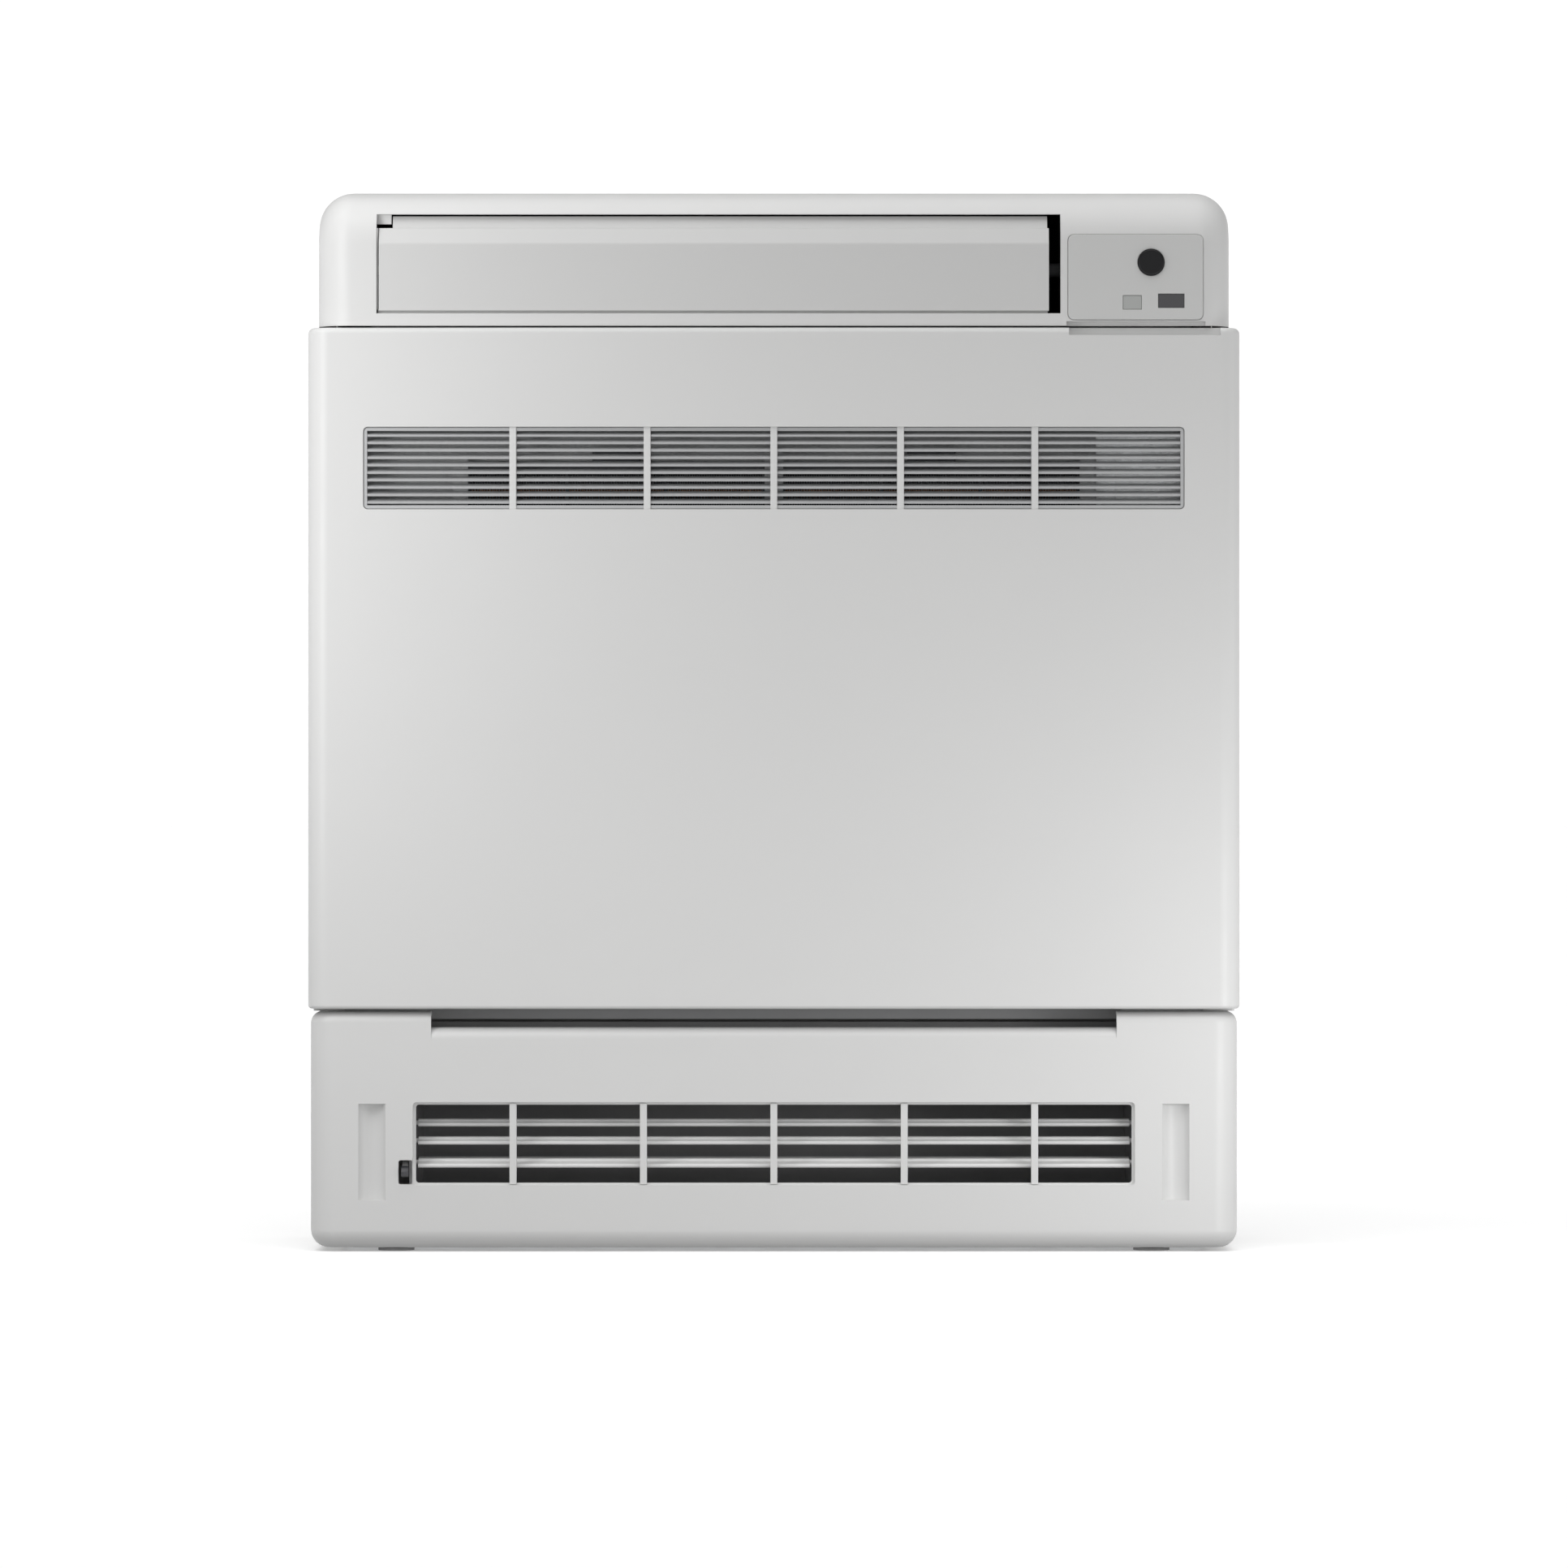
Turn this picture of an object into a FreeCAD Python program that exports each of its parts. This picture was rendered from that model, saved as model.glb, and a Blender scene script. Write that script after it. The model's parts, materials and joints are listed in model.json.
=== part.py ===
import FreeCAD, Part
import Sketcher
import math
import os
from FreeCAD import Vector, Placement, Rotation

# Floor standing room console. Millimetres. X runs to the right of a viewer
# facing the unit, Y from the front to the rear, Z up. The middle of the
# bottom of the bounding box is the origin.

doc = FreeCAD.newDocument("floor_console_unit")
sheet = doc.addObject("Spreadsheet::Sheet", "params")

CELLS = [
    # overall
    ("overall_width", 615), ("overall_depth", 215), ("overall_height", 700),
    ("shell_wall", 2.6), ("cover_setback", 4.0),
    # top cover
    ("top_half_width", 301), ("top_corner", 23), ("top_arc", 36), ("top_low", 610.6),
    ("opening_left", -262), ("opening_right", 189), ("opening_low", 618.8), ("opening_high", 684.4),
    # bottom cover and toe
    ("base_half_width", 306), ("base_corner", 16), ("base_low", 2.5), ("base_top", 158.6),
    ("base_top_round", 8), ("base_low_round", 12), ("scoop_deep", 6), ("scoop_radius", 9.6),
    ("slot_half", 226), ("slot_low", 148),
    ("outlet_half", 238), ("outlet_low", 44), ("outlet_high", 98.5),
    ("tray_half_width", 284), ("tray_front", -84), ("tray_top", 12), ("foot_radius", 12), ("foot_height", 2),
    # front panel
    ("panel_low", 160.2), ("panel_high", 609.4), ("panel_bow", 1.4), ("panel_corner", 14),
    ("panel_rim", 20.5), ("hinge_y", -98.5), ("hinge_z", 174), ("hinge_pin", 2.0),
    ("hinge_play", 0.08),
    # intake grille
    ("grille_half", 270.6), ("grille_low", 489.6), ("grille_high", 543.8),
    ("slat_pitch", 4.9), ("slat_thick", 1.5), ("slat_deep", 7.0),
    ("bar_near", 83.5), ("bar_far", 172), ("bar_wide", 4.6),
    # louver
    ("louver_left", -260.5), ("louver_right", 181.4), ("louver_low", 620.4), ("louver_wall", 2.6),
    ("louver_axis_y", -89), ("louver_axis_z", 648), ("louver_pin", 3.0),
    # swing vanes
    ("vane_first", -215), ("vane_step", 70), ("vane_thick", 1.6), ("vane_y", -36),
    ("vane_low", 617.4), ("vane_high", 666), ("vane_ahead", 17), ("vane_pin", 2.5), ("vane_arm", 14),
    # lower blades
    ("blade_y", -84), ("blade_top_z", 84.6), ("blade_mid_z", 72.8), ("blade_low_z", 58.4),
    ("blade_half", 235), ("blade_pin", 1.5), ("blade_arm", 9),
    # frame parts
    ("side_outer", 304.4), ("side_front", -86), ("side_flange", 20.4),
    ("chassis_front", 102.5), ("chassis_plate", 2.5), ("chassis_half", 298),
    ("wall_hole_x", 265), ("wall_hole_low", 200), ("wall_hole_high", 600), ("wall_hole_radius", 3.5),
    ("frame_front", -83.4), ("frame_thick", 2.4),
    # air movers
    ("fan_z", 362), ("fan_radius", 150), ("fan_front", -30), ("fan_back", 48.5),
    ("eye_radius", 116), ("shaft_radius", 4), ("motor_radius", 42),
    ("housing_half", 236), ("bell_front", -42), ("bell_throat", 111),
    # coil
    ("coil_half", 204), ("coil_front", -78), ("coil_back", -46), ("coil_low", 186), ("coil_high", 518),
    ("tube_radius", 4.8), ("tube_pitch", 27.6), ("tube_first", 199), ("row_front", -70), ("row_rear", -54),
    # filters
    ("filter_half_gap", 2.5), ("filter_outer", 205.5), ("filter_front", -90.4), ("filter_rear", -84.0),
    ("filter_low", 186.4), ("filter_high", 519),
    # pipes
    ("gas_radius", 4.8), ("liquid_radius", 3.2), ("pipe_x", -272), ("gas_z", 116), ("liquid_z", 84),
    ("hose_radius", 7.5), ("spigot_radius", 8.5), ("hose_x", -256), ("hose_z", 52),
    # electrics
    ("ebox_left", 243), ("ebox_right", 297), ("ebox_front", -80.8), ("ebox_rear", 56),
    ("ebox_low", 200), ("ebox_high", 556), ("ebox_wall", 1.2),
    ("gland_x", 265), ("gland_z", 60), ("gland_bore", 5),
    # controls
    ("plate_left", 194), ("plate_right", 283), ("plate_low", 614.6), ("plate_high", 670.6),
    ("button_x", 248.7), ("button_z", 652.4), ("button_radius", 8.6),
    ("window_x", 262), ("window_z", 627), ("lens_x", 236.3), ("lens_z", 626),
]

VALUE = {}
for row, (word, number) in enumerate(CELLS, start=1):
    sheet.set("A%d" % row, word)
    sheet.set("B%d" % row, repr(number))
    sheet.setAlias("B%d" % row, word)
    VALUE[word] = float(number)
doc.recompute()


class Dim:
    """A number together with the sheet expression that gives it."""

    def __init__(self, value, text, free=False):
        self.value = float(value)
        self.text = text
        self.free = free

    def __add__(self, other):
        other = dim(other)
        return Dim(self.value + other.value, "(%s + %s)" % (self.text, other.text), self.free or other.free)

    def __radd__(self, other):
        return dim(other) + self

    def __sub__(self, other):
        other = dim(other)
        return Dim(self.value - other.value, "(%s - %s)" % (self.text, other.text), self.free or other.free)

    def __rsub__(self, other):
        return dim(other) - self

    def __mul__(self, other):
        other = dim(other)
        return Dim(self.value * other.value, "(%s * %s)" % (self.text, other.text), self.free or other.free)

    def __rmul__(self, other):
        return dim(other) * self

    def __truediv__(self, other):
        other = dim(other)
        return Dim(self.value / other.value, "(%s / %s)" % (self.text, other.text), self.free or other.free)

    def __neg__(self):
        return Dim(-self.value, "(0 - %s)" % self.text, self.free)


def dim(number):
    if isinstance(number, Dim):
        return number
    return Dim(number, "(%.9f)" % float(number))


def P(word):
    return Dim(VALUE[word], "params." + word, True)


def num(number):
    return dim(number).value


def bind(obj, prop, number):
    number = dim(number)
    if number.free:
        obj.setExpression(prop, number.text)


def size(obj, prop, number):
    setattr(obj, prop, num(number))
    bind(obj, prop, number)


def place(obj, x, y, z, turn=None):
    obj.Placement = Placement(Vector(num(x), num(y), num(z)), turn or Rotation())
    for axis, number in (("x", x), ("y", y), ("z", z)):
        bind(obj, "Placement.Base." + axis, number)


def box(name, x, y, z):
    obj = doc.addObject("Part::Box", name)
    size(obj, "Length", x[1] - x[0])
    size(obj, "Width", y[1] - y[0])
    size(obj, "Height", z[1] - z[0])
    place(obj, x[0], y[0], z[0])
    return obj


TURN = {"x": Rotation(Vector(0, 1, 0), 90), "y": Rotation(Vector(1, 0, 0), -90), "z": Rotation()}


def rod(name, axis, centre, radius, start, end):
    """Cylinder along an axis; centre holds the other two coordinates in order."""
    obj = doc.addObject("Part::Cylinder", name)
    size(obj, "Radius", radius)
    size(obj, "Height", dim(end) - start)
    if axis == "x":
        place(obj, start, centre[0], centre[1], TURN["x"])
    elif axis == "y":
        place(obj, centre[0], start, centre[1], TURN["y"])
    else:
        place(obj, centre[0], centre[1], start, TURN["z"])
    return obj


def fuse(name, parts):
    obj = doc.addObject("Part::MultiFuse", name)
    obj.Shapes = parts
    obj.Refine = True
    return obj


def group(name, parts):
    obj = doc.addObject("Part::Compound", name)
    obj.Links = parts
    return obj


def cut(name, base, tools):
    obj = doc.addObject("Part::Cut", name)
    obj.Base = base
    if isinstance(tools, list):
        tools = tools[0] if len(tools) == 1 else fuse(name + "_tool", tools)
    obj.Tool = tools
    obj.Refine = True
    return obj


def body(name):
    return doc.addObject("PartDesign::Body", name)


def origin_of(owner, role):
    for feature in owner.Origin.OriginFeatures:
        if feature.Role == role:
            return feature
    raise RuntimeError(role)


def sketch(owner, name, role, loops, shift=0):
    """Closed loops of (u, v) or (u, v, radius); a radius turns the edge that
    leaves the point into an arc, positive when it runs counter-clockwise.
    A loop ("circle", u, v, radius) is a full circle."""
    sk = owner.newObject("Sketcher::SketchObject", name)
    sk.AttachmentSupport = [(origin_of(owner, role), "")]
    sk.MapMode = "FlatFace"
    sk.AttachmentOffset = Placement(Vector(0, 0, num(shift)), Rotation())
    bind(sk, "AttachmentOffset.Base.z", shift)

    def hold(kind, geo, pos, number):
        index = sk.addConstraint(Sketcher.Constraint(kind, -1, 1, geo, pos, num(number)))
        bind(sk, "Constraints[%d]" % index, number)

    def hold_radius(geo, number):
        index = sk.addConstraint(Sketcher.Constraint("Radius", geo, num(number)))
        bind(sk, "Constraints[%d]" % index, number)

    for loop in loops:
        if loop[0] == "circle":
            geo = sk.addGeometry(Part.Circle(Vector(num(loop[1]), num(loop[2]), 0), Vector(0, 0, 1), num(loop[3])), False)
            hold("DistanceX", geo, 3, loop[1])
            hold("DistanceY", geo, 3, loop[2])
            hold_radius(geo, loop[3])
            continue
        count = len(loop)
        ends = []
        arcs = []
        for i in range(count):
            first, last = loop[i], loop[(i + 1) % count]
            a = Vector(num(first[0]), num(first[1]), 0)
            b = Vector(num(last[0]), num(last[1]), 0)
            if len(first) == 2:
                geo = sk.addGeometry(Part.LineSegment(a, b), False)
                ends.append((geo, 1, 2))
            else:
                radius = num(first[2])
                chord = b - a
                half = chord.Length / 2
                reach = math.sqrt(max(radius * radius - half * half, 0.0))
                left = Vector(-chord.y, chord.x, 0).normalize()
                centre = (a + b) * 0.5 + left * (reach if radius > 0 else -reach)
                angle_a = math.atan2(a.y - centre.y, a.x - centre.x)
                angle_b = math.atan2(b.y - centre.y, b.x - centre.x)
                ring = Part.Circle(centre, Vector(0, 0, 1), abs(radius))
                if radius > 0:
                    while angle_b <= angle_a:
                        angle_b += 2 * math.pi
                    geo = sk.addGeometry(Part.ArcOfCircle(ring, angle_a, angle_b), False)
                    ends.append((geo, 1, 2))
                else:
                    while angle_a <= angle_b:
                        angle_a += 2 * math.pi
                    geo = sk.addGeometry(Part.ArcOfCircle(ring, angle_b, angle_a), False)
                    ends.append((geo, 2, 1))
                arcs.append((geo, first[2] if radius > 0 else -dim(first[2])))
        for i in range(count):
            here, there = ends[i], ends[(i + 1) % count]
            sk.addConstraint(Sketcher.Constraint("Coincident", here[0], here[2], there[0], there[1]))
        for i in range(count):
            hold("DistanceX", ends[i][0], ends[i][1], loop[i][0])
            hold("DistanceY", ends[i][0], ends[i][1], loop[i][1])
        for geo, radius in arcs:
            hold_radius(geo, radius)
    return sk


def feature(owner, kind, name, sk, length):
    obj = owner.newObject("PartDesign::" + kind, name)
    obj.Profile = sk
    size(obj, "Length", length)
    return obj


def along_x(owner, name, loops, start, end, kind="Pad"):
    sk = sketch(owner, name + "_outline", "YZ_Plane", loops, start)
    return feature(owner, kind, name, sk, dim(end) - start)


def along_y(owner, name, loops, start, end, kind="Pad"):
    sk = sketch(owner, name + "_outline", "XZ_Plane", loops, -dim(end))
    return feature(owner, kind, name, sk, dim(end) - start)


def along_z(owner, name, loops, start, end, kind="Pad"):
    sk = sketch(owner, name + "_outline", "XY_Plane", loops, start)
    return feature(owner, kind, name, sk, dim(end) - start)


def spin(owner, name, loop):
    """Full turn about the body's own Y axis; the loop is in (radius, y)."""
    sk = sketch(owner, name + "_outline", "XY_Plane", [loop])
    obj = owner.newObject("PartDesign::Revolution", name)
    obj.Profile = sk
    obj.ReferenceAxis = (origin_of(owner, "Y_Axis"), [""])
    obj.Angle = 360
    return obj


def rect(a, b, c, d):
    return [(a, c), (b, c), (b, d), (a, d)]


def soft_rect(a, b, c, d, r):
    a, b, c, d, r = dim(a), dim(b), dim(c), dim(d), dim(r)
    return [(a + r, c), (b - r, c, r), (b, c + r), (b, d - r, r),
            (b - r, d), (a + r, d, r), (a, d - r), (a, c + r, r)]


def middle(edge):
    return edge.valueAt((edge.FirstParameter + edge.LastParameter) / 2)


def soften(owner, name, base, test, radius):
    doc.recompute()
    names = ["Edge%d" % (i + 1) for i, e in enumerate(base.Shape.Edges) if test(e, middle(e))]
    if not names:
        raise RuntimeError("no edges for " + name)
    obj = owner.newObject("PartDesign::Fillet", name)
    obj.Base = (base, names)
    size(obj, "Radius", radius)
    doc.recompute()
    return obj


def near(a, b):
    return abs(a - num(b)) < 0.02


NODES = []


def node(label, obj):
    obj.Label = label
    NODES.append(obj)
    return obj


def bent_pipe(name, points, radius, bend):
    """Pipe through points joined by straight legs parallel to the axes, with
    a quarter ring at each corner."""
    vectors = [Vector(*[num(c) for c in p]) for p in points]
    parts = []
    for i in range(len(points) - 1):
        run = vectors[i + 1] - vectors[i]
        axis = "xyz"[[abs(run.x), abs(run.y), abs(run.z)].index(max(abs(run.x), abs(run.y), abs(run.z)))]
        k = "xyz".index(axis)
        sign = 1 if run[k] > 0 else -1
        first = dim(points[i][k]) + (sign * bend if i > 0 else 0)
        last = dim(points[i + 1][k]) - (sign * bend if i < len(points) - 2 else 0)
        low, high = (first, last) if sign > 0 else (last, first)
        others = [points[i][j] for j in range(3) if j != k]
        parts.append(rod("%s_leg%d" % (name, i), axis, others, radius, low, high))
    for i in range(1, len(points) - 1):
        come = vectors[i] - vectors[i - 1]
        come.normalize()
        leave = vectors[i + 1] - vectors[i]
        leave.normalize()
        ring = doc.addObject("Part::Torus", "%s_bend%d" % (name, i))
        size(ring, "Radius1", bend)
        size(ring, "Radius2", radius)
        ring.Angle3 = 90
        x_axis = leave * -1
        z_axis = x_axis.cross(come)
        turn = Rotation(x_axis, come, z_axis, "XYZ")
        shift = (leave - come) * bend
        place(ring, dim(points[i][0]) + shift.x, dim(points[i][1]) + shift.y, dim(points[i][2]) + shift.z, turn)
        parts.append(ring)
    return fuse(name, parts)


def half_ring(name, x, y, z, major, minor, x_axis, y_axis):
    ring = doc.addObject("Part::Torus", name)
    size(ring, "Radius1", major)
    size(ring, "Radius2", minor)
    ring.Angle3 = 180
    place(ring, x, y, z, Rotation(x_axis, y_axis, x_axis.cross(y_axis), "XYZ"))
    return ring


W, D, H = P("overall_width"), P("overall_depth"), P("overall_height")
WALL = P("shell_wall")
FRONT = -D / 2
COVER = FRONT + P("cover_setback")
REAR = D / 2

# ---------------------------------------------------------------- top cover


def top_block(name, inset, low, rear):
    b = body(name)
    half = P("top_half_width") - inset
    y0, zt, arc = COVER + inset, H - inset, P("top_arc") - inset
    za = H - P("top_arc")
    yc = COVER + P("top_arc")
    block = along_x(b, name + "_block", [[(y0, low), (y0, za, -arc), (yc, zt), (rear, zt), (rear, low)]], -half, half)

    def test(e, m):
        on_end = near(abs(m.x), half) and e.BoundBox.XLength < 0.02
        return on_end and not near(m.z, low) and not near(m.y, rear)

    soften(b, name + "_ends", block, test, P("top_corner") - inset)
    return b


top_outer = top_block("top_outer", dim(0), P("top_low"), REAR)
top_inner = top_block("top_inner", WALL, P("top_low") - 20, REAR + 20)
top_shell = cut("top_shell", top_outer, top_inner)
opening = box("top_opening", (P("opening_left"), P("opening_right")), (FRONT - 10, dim(-86)), (P("opening_low"), P("opening_high")))
plate_seat = body("plate_seat")
along_y(plate_seat, "plate_seat_cut", [soft_rect(P("plate_left") - 0.3, P("plate_right") + 0.3, P("plate_low") - 0.3, P("plate_high") + 0.3, 4.3)], FRONT - 10, COVER + 1.2)
plate_hole = box("plate_hole", (P("plate_left") + 4, P("plate_right") - 4), (FRONT - 10, dim(-98)), (P("plate_low") + 3.4, P("plate_high") - 1.2))
under_rib = box("top_under_rib", (P("opening_right") + 2.6, dim(285.5)), (COVER + WALL - 1, dim(-97.6)), (P("top_low"), P("top_low") + 5.6))
under_cut = box("top_under_cut", (P("opening_right") + 4, dim(284.5)), (dim(-108), dim(-99.2)), (P("top_low") - 5, P("top_low") + 2.9))
top_cover = node("top_cover", cut("top_cover_cut", fuse("top_with_rib", [top_shell, under_rib]), [opening, plate_seat, plate_hole, under_cut]))

# ------------------------------------------------------------ control parts

plate_front = COVER - 0.7
plate_back = COVER + 1.2
ctl = body("control_plate")
along_y(ctl, "control_plate_pad", [
    soft_rect(P("plate_left"), P("plate_right"), P("plate_low"), P("plate_high"), 4),
    ("circle", P("button_x"), P("button_z"), P("button_radius") + 0.35),
    rect(P("window_x") - 8.7, P("window_x") + 8.7, P("window_z") - 4.7, P("window_z") + 4.7),
    rect(P("lens_x") - 6.2, P("lens_x") + 6.2, P("lens_z") - 4.7, P("lens_z") + 4.7),
], plate_front, plate_back)


def plate_edge(e, m):
    return near(m.y, plate_front) and e.BoundBox.YLength < 0.02 and (
        m.x < VALUE["plate_left"] + 4.1 or m.x > VALUE["plate_right"] - 4.1 or near(m.z, P("plate_low")) or near(m.z, P("plate_high")))


soften(ctl, "control_plate_edge", ctl.Tip, plate_edge, dim(0.5))
node("control_panel", ctl)

win = body("receiver_pane")
along_y(win, "receiver_pane_pad", [rect(P("window_x") - 8.5, P("window_x") + 8.5, P("window_z") - 4.5, P("window_z") + 4.5)], plate_front + 0.3, plate_back)
node("receiver_window", win)
lens = body("lens_pane")
along_y(lens, "lens_pane_pad", [rect(P("lens_x") - 6, P("lens_x") + 6, P("lens_z") - 4.5, P("lens_z") + 4.5)], plate_front + 0.3, plate_back)
node("indicator_lens", lens)

button = body("button_cap")
place(button, P("button_x"), 0, P("button_z"))
br = P("button_radius")
spin(button, "button_turn", [(0, COVER - 2.6), (br - 1.2, COVER - 2.6, 1.2), (br, COVER - 1.4), (br, COVER + 1.6),
                             (br + 1.6, COVER + 1.6), (br + 1.6, COVER + 2.6), (0, COVER + 2.6)])
node("power_button", button)

board_y = dim(-97)
node("display_board", group("display_group", [
    box("display_pcb", (dim(201), dim(271)), (board_y, board_y + 1.6), (P("plate_low") + 4, P("plate_high") - 2.5)),
    box("display_switch", (P("button_x") - 3, P("button_x") + 3), (board_y - 2.6, board_y), (P("button_z") - 3, P("button_z") + 3)),
    box("display_receiver", (P("window_x") - 4, P("window_x") + 4), (board_y - 4.2, board_y), (P("window_z") - 3.5, P("window_z") + 3.5)),
    box("display_lamp", (P("lens_x") - 3, P("lens_x") + 3), (board_y - 3.6, board_y), (P("lens_z") - 2, P("lens_z") + 2)),
]))

# ------------------------------------------------------------- bottom cover


def base_block(name, inset, low, high, rear):
    b = body(name)
    half, y0, r = P("base_half_width") - inset, COVER + inset, P("base_corner") - inset
    along_z(b, name + "_block", [[(-half, rear), (-half, y0 + r, r), (-half + r, y0), (half - r, y0, r), (half, y0 + r), (half, rear)]], low, high)
    return b


base_outer = base_block("base_outer", dim(0), P("base_low"), P("base_top"), REAR)
soften(base_outer, "base_outer_top", base_outer.Tip, lambda e, m: near(m.z, P("base_top")) and not near(m.y, REAR) and e.BoundBox.ZLength < 0.02, P("base_top_round"))
soften(base_outer, "base_outer_low", base_outer.Tip, lambda e, m: near(m.z, P("base_low")) and not near(m.y, REAR) and e.BoundBox.ZLength < 0.02, P("base_low_round"))
base_inner = base_block("base_inner", WALL, P("base_low") + WALL, P("base_top") - WALL, REAR + 20)
soften(base_inner, "base_inner_top", base_inner.Tip, lambda e, m: near(m.z, P("base_top") - WALL) and not near(m.y, REAR + 20) and e.BoundBox.ZLength < 0.02, P("base_top_round") - WALL)
soften(base_inner, "base_inner_low", base_inner.Tip, lambda e, m: near(m.z, P("base_low") + WALL) and not near(m.y, REAR + 20) and e.BoundBox.ZLength < 0.02, P("base_low_round") - WALL)
base_shell = cut("base_shell", base_outer, [
    base_inner,
    box("base_low_clear", (dim(-286), dim(286)), (dim(-86), REAR + 20), (dim(-5), dim(20))),
    box("base_top_clear", (dim(-288), dim(288)), (dim(-87), REAR + 20), (P("base_top") - 10, P("base_top") + 10)),
    box("base_rear_clear", (WALL - P("base_half_width"), P("base_half_width") - WALL), (P("chassis_front") - 0.4, REAR + 20), (dim(-5), P("base_top") + 10)),
    box("base_slot", (-P("slot_half"), P("slot_half")), (FRONT - 10, dim(-80)), (P("slot_low") - 12, P("base_top") + 10)),
])
lip = body("slot_lip")
lip_y = COVER
along_x(lip, "slot_lip_pad", [[(lip_y, P("slot_low") - 14), (lip_y + 12.5, P("slot_low") - 14), (lip_y + 12.5, P("slot_low")),
                              (lip_y + 8, P("slot_low"), 8), (lip_y, P("slot_low") - 8)]], -P("slot_half") - 1, P("slot_half") + 1)
outlet_tool = body("outlet_tool")
along_y(outlet_tool, "outlet_tool_pad", [soft_rect(-P("outlet_half"), P("outlet_half"), P("outlet_low"), P("outlet_high"), 2.5)], FRONT - 10, dim(-98.5))
lever_tool = body("lever_tool")
along_y(lever_tool, "lever_tool_pad", [soft_rect(dim(-247.5), -P("outlet_half") + 2, dim(44.6), dim(60.4), 1.5)], FRONT - 10, dim(-98.5))
scoops = [rod("scoop_%d" % i, "z", (x, COVER - P("scoop_radius") + P("scoop_deep")), P("scoop_radius"), dim(34), dim(97.5)) for i, x in enumerate((-265, 265))]
scoop_pads = [box("scoop_pad_%d" % i, (dim(x - 11.5), dim(x + 11.5)), (COVER + WALL - 0.6, COVER + P("scoop_deep") + 2.4), (dim(29), dim(102))) for i, x in enumerate((-265, 265))]
rear_stiles = [box("rear_stile_0", (-P("base_half_width") + 2, dim(-298.4)), (dim(99), REAR), (dim(15), dim(155))),
               box("rear_stile_1", (dim(298.4), P("base_half_width") - 2), (dim(99), REAR), (dim(15), dim(155)))]
bottom_cover = node("bottom_cover", cut("bottom_cover_cut", fuse("bottom_with_lip", [base_shell, lip] + scoop_pads + rear_stiles), [outlet_tool, lever_tool] + scoops))

# ------------------------------------------------------------- lower outlet

grille_y = COVER + WALL
lower_bars = [box("lower_bar_%d" % i, (x - P("bar_wide") / 2, x + P("bar_wide") / 2), (grille_y - 1.7, grille_y + 4.6), (P("outlet_low") + 0.5, P("outlet_high") - 0.5))
              for i, x in enumerate((dim(0), dim(86), dim(-86), P("bar_far"), -P("bar_far")))]
lower_frame = body("lower_frame")
along_y(lower_frame, "lower_frame_pad", [soft_rect(dim(-252), dim(252), P("outlet_low") - 6, P("outlet_high") + 5, 4),
                                         soft_rect(-P("outlet_half") + 2, P("outlet_half") - 2, P("outlet_low") + 1.5, P("outlet_high") - 1.5, 2),
                                         soft_rect(dim(-247.5), -P("outlet_half") - 0.6, dim(44.6), dim(60.4), 1.2)], grille_y, grille_y + 2.6)
node("lower_grille", fuse("lower_grille_fuse", [lower_frame] + lower_bars))

duct_holes = []
for i, word in enumerate(("blade_top_z", "blade_mid_z", "blade_low_z")):
    duct_holes.append(rod("blade_hole_%d" % i, "x", (P("blade_y"), P(word)), P("blade_pin") + P("hinge_play"), dim(-260), dim(260)))
low_duct = body("low_duct")
face = grille_y + 2.7
end_plate = [(face, dim(34)), (dim(30), dim(34), 72), (dim(102), dim(106)), (dim(102), dim(150)), (dim(-37.5), dim(150)), (dim(-60.5), dim(106.5)), (face, dim(106.5))]
oh = P("outlet_half")
along_x(low_duct, "low_duct_left", [end_plate], -oh - 2.5, -oh)
along_x(low_duct, "low_duct_floor", [[(face, dim(34)), (dim(30), dim(34), 72), (dim(102), dim(106)), (dim(102), dim(150)), (dim(99.5), dim(150)), (dim(99.5), dim(106), -69.5), (dim(30), dim(36.5)), (face, dim(36.5))]], -oh - 1, oh + 1)
along_x(low_duct, "low_duct_roof", [[(face, dim(104)), (dim(-59), dim(104)), (dim(-34.5), dim(150)), (dim(-37.5), dim(150)), (dim(-60.5), dim(106.5)), (face, dim(106.5))]], -oh - 1, oh + 1)
along_x(low_duct, "low_duct_right", [end_plate], oh, oh + 2.5)
along_x(low_duct, "low_duct_lever_guard", [rect(dim(-72), dim(-70), dim(37), dim(69))], dim(-252), -oh - 1)
node("lower_duct", cut("lower_duct_cut", low_duct, duct_holes))


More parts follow.
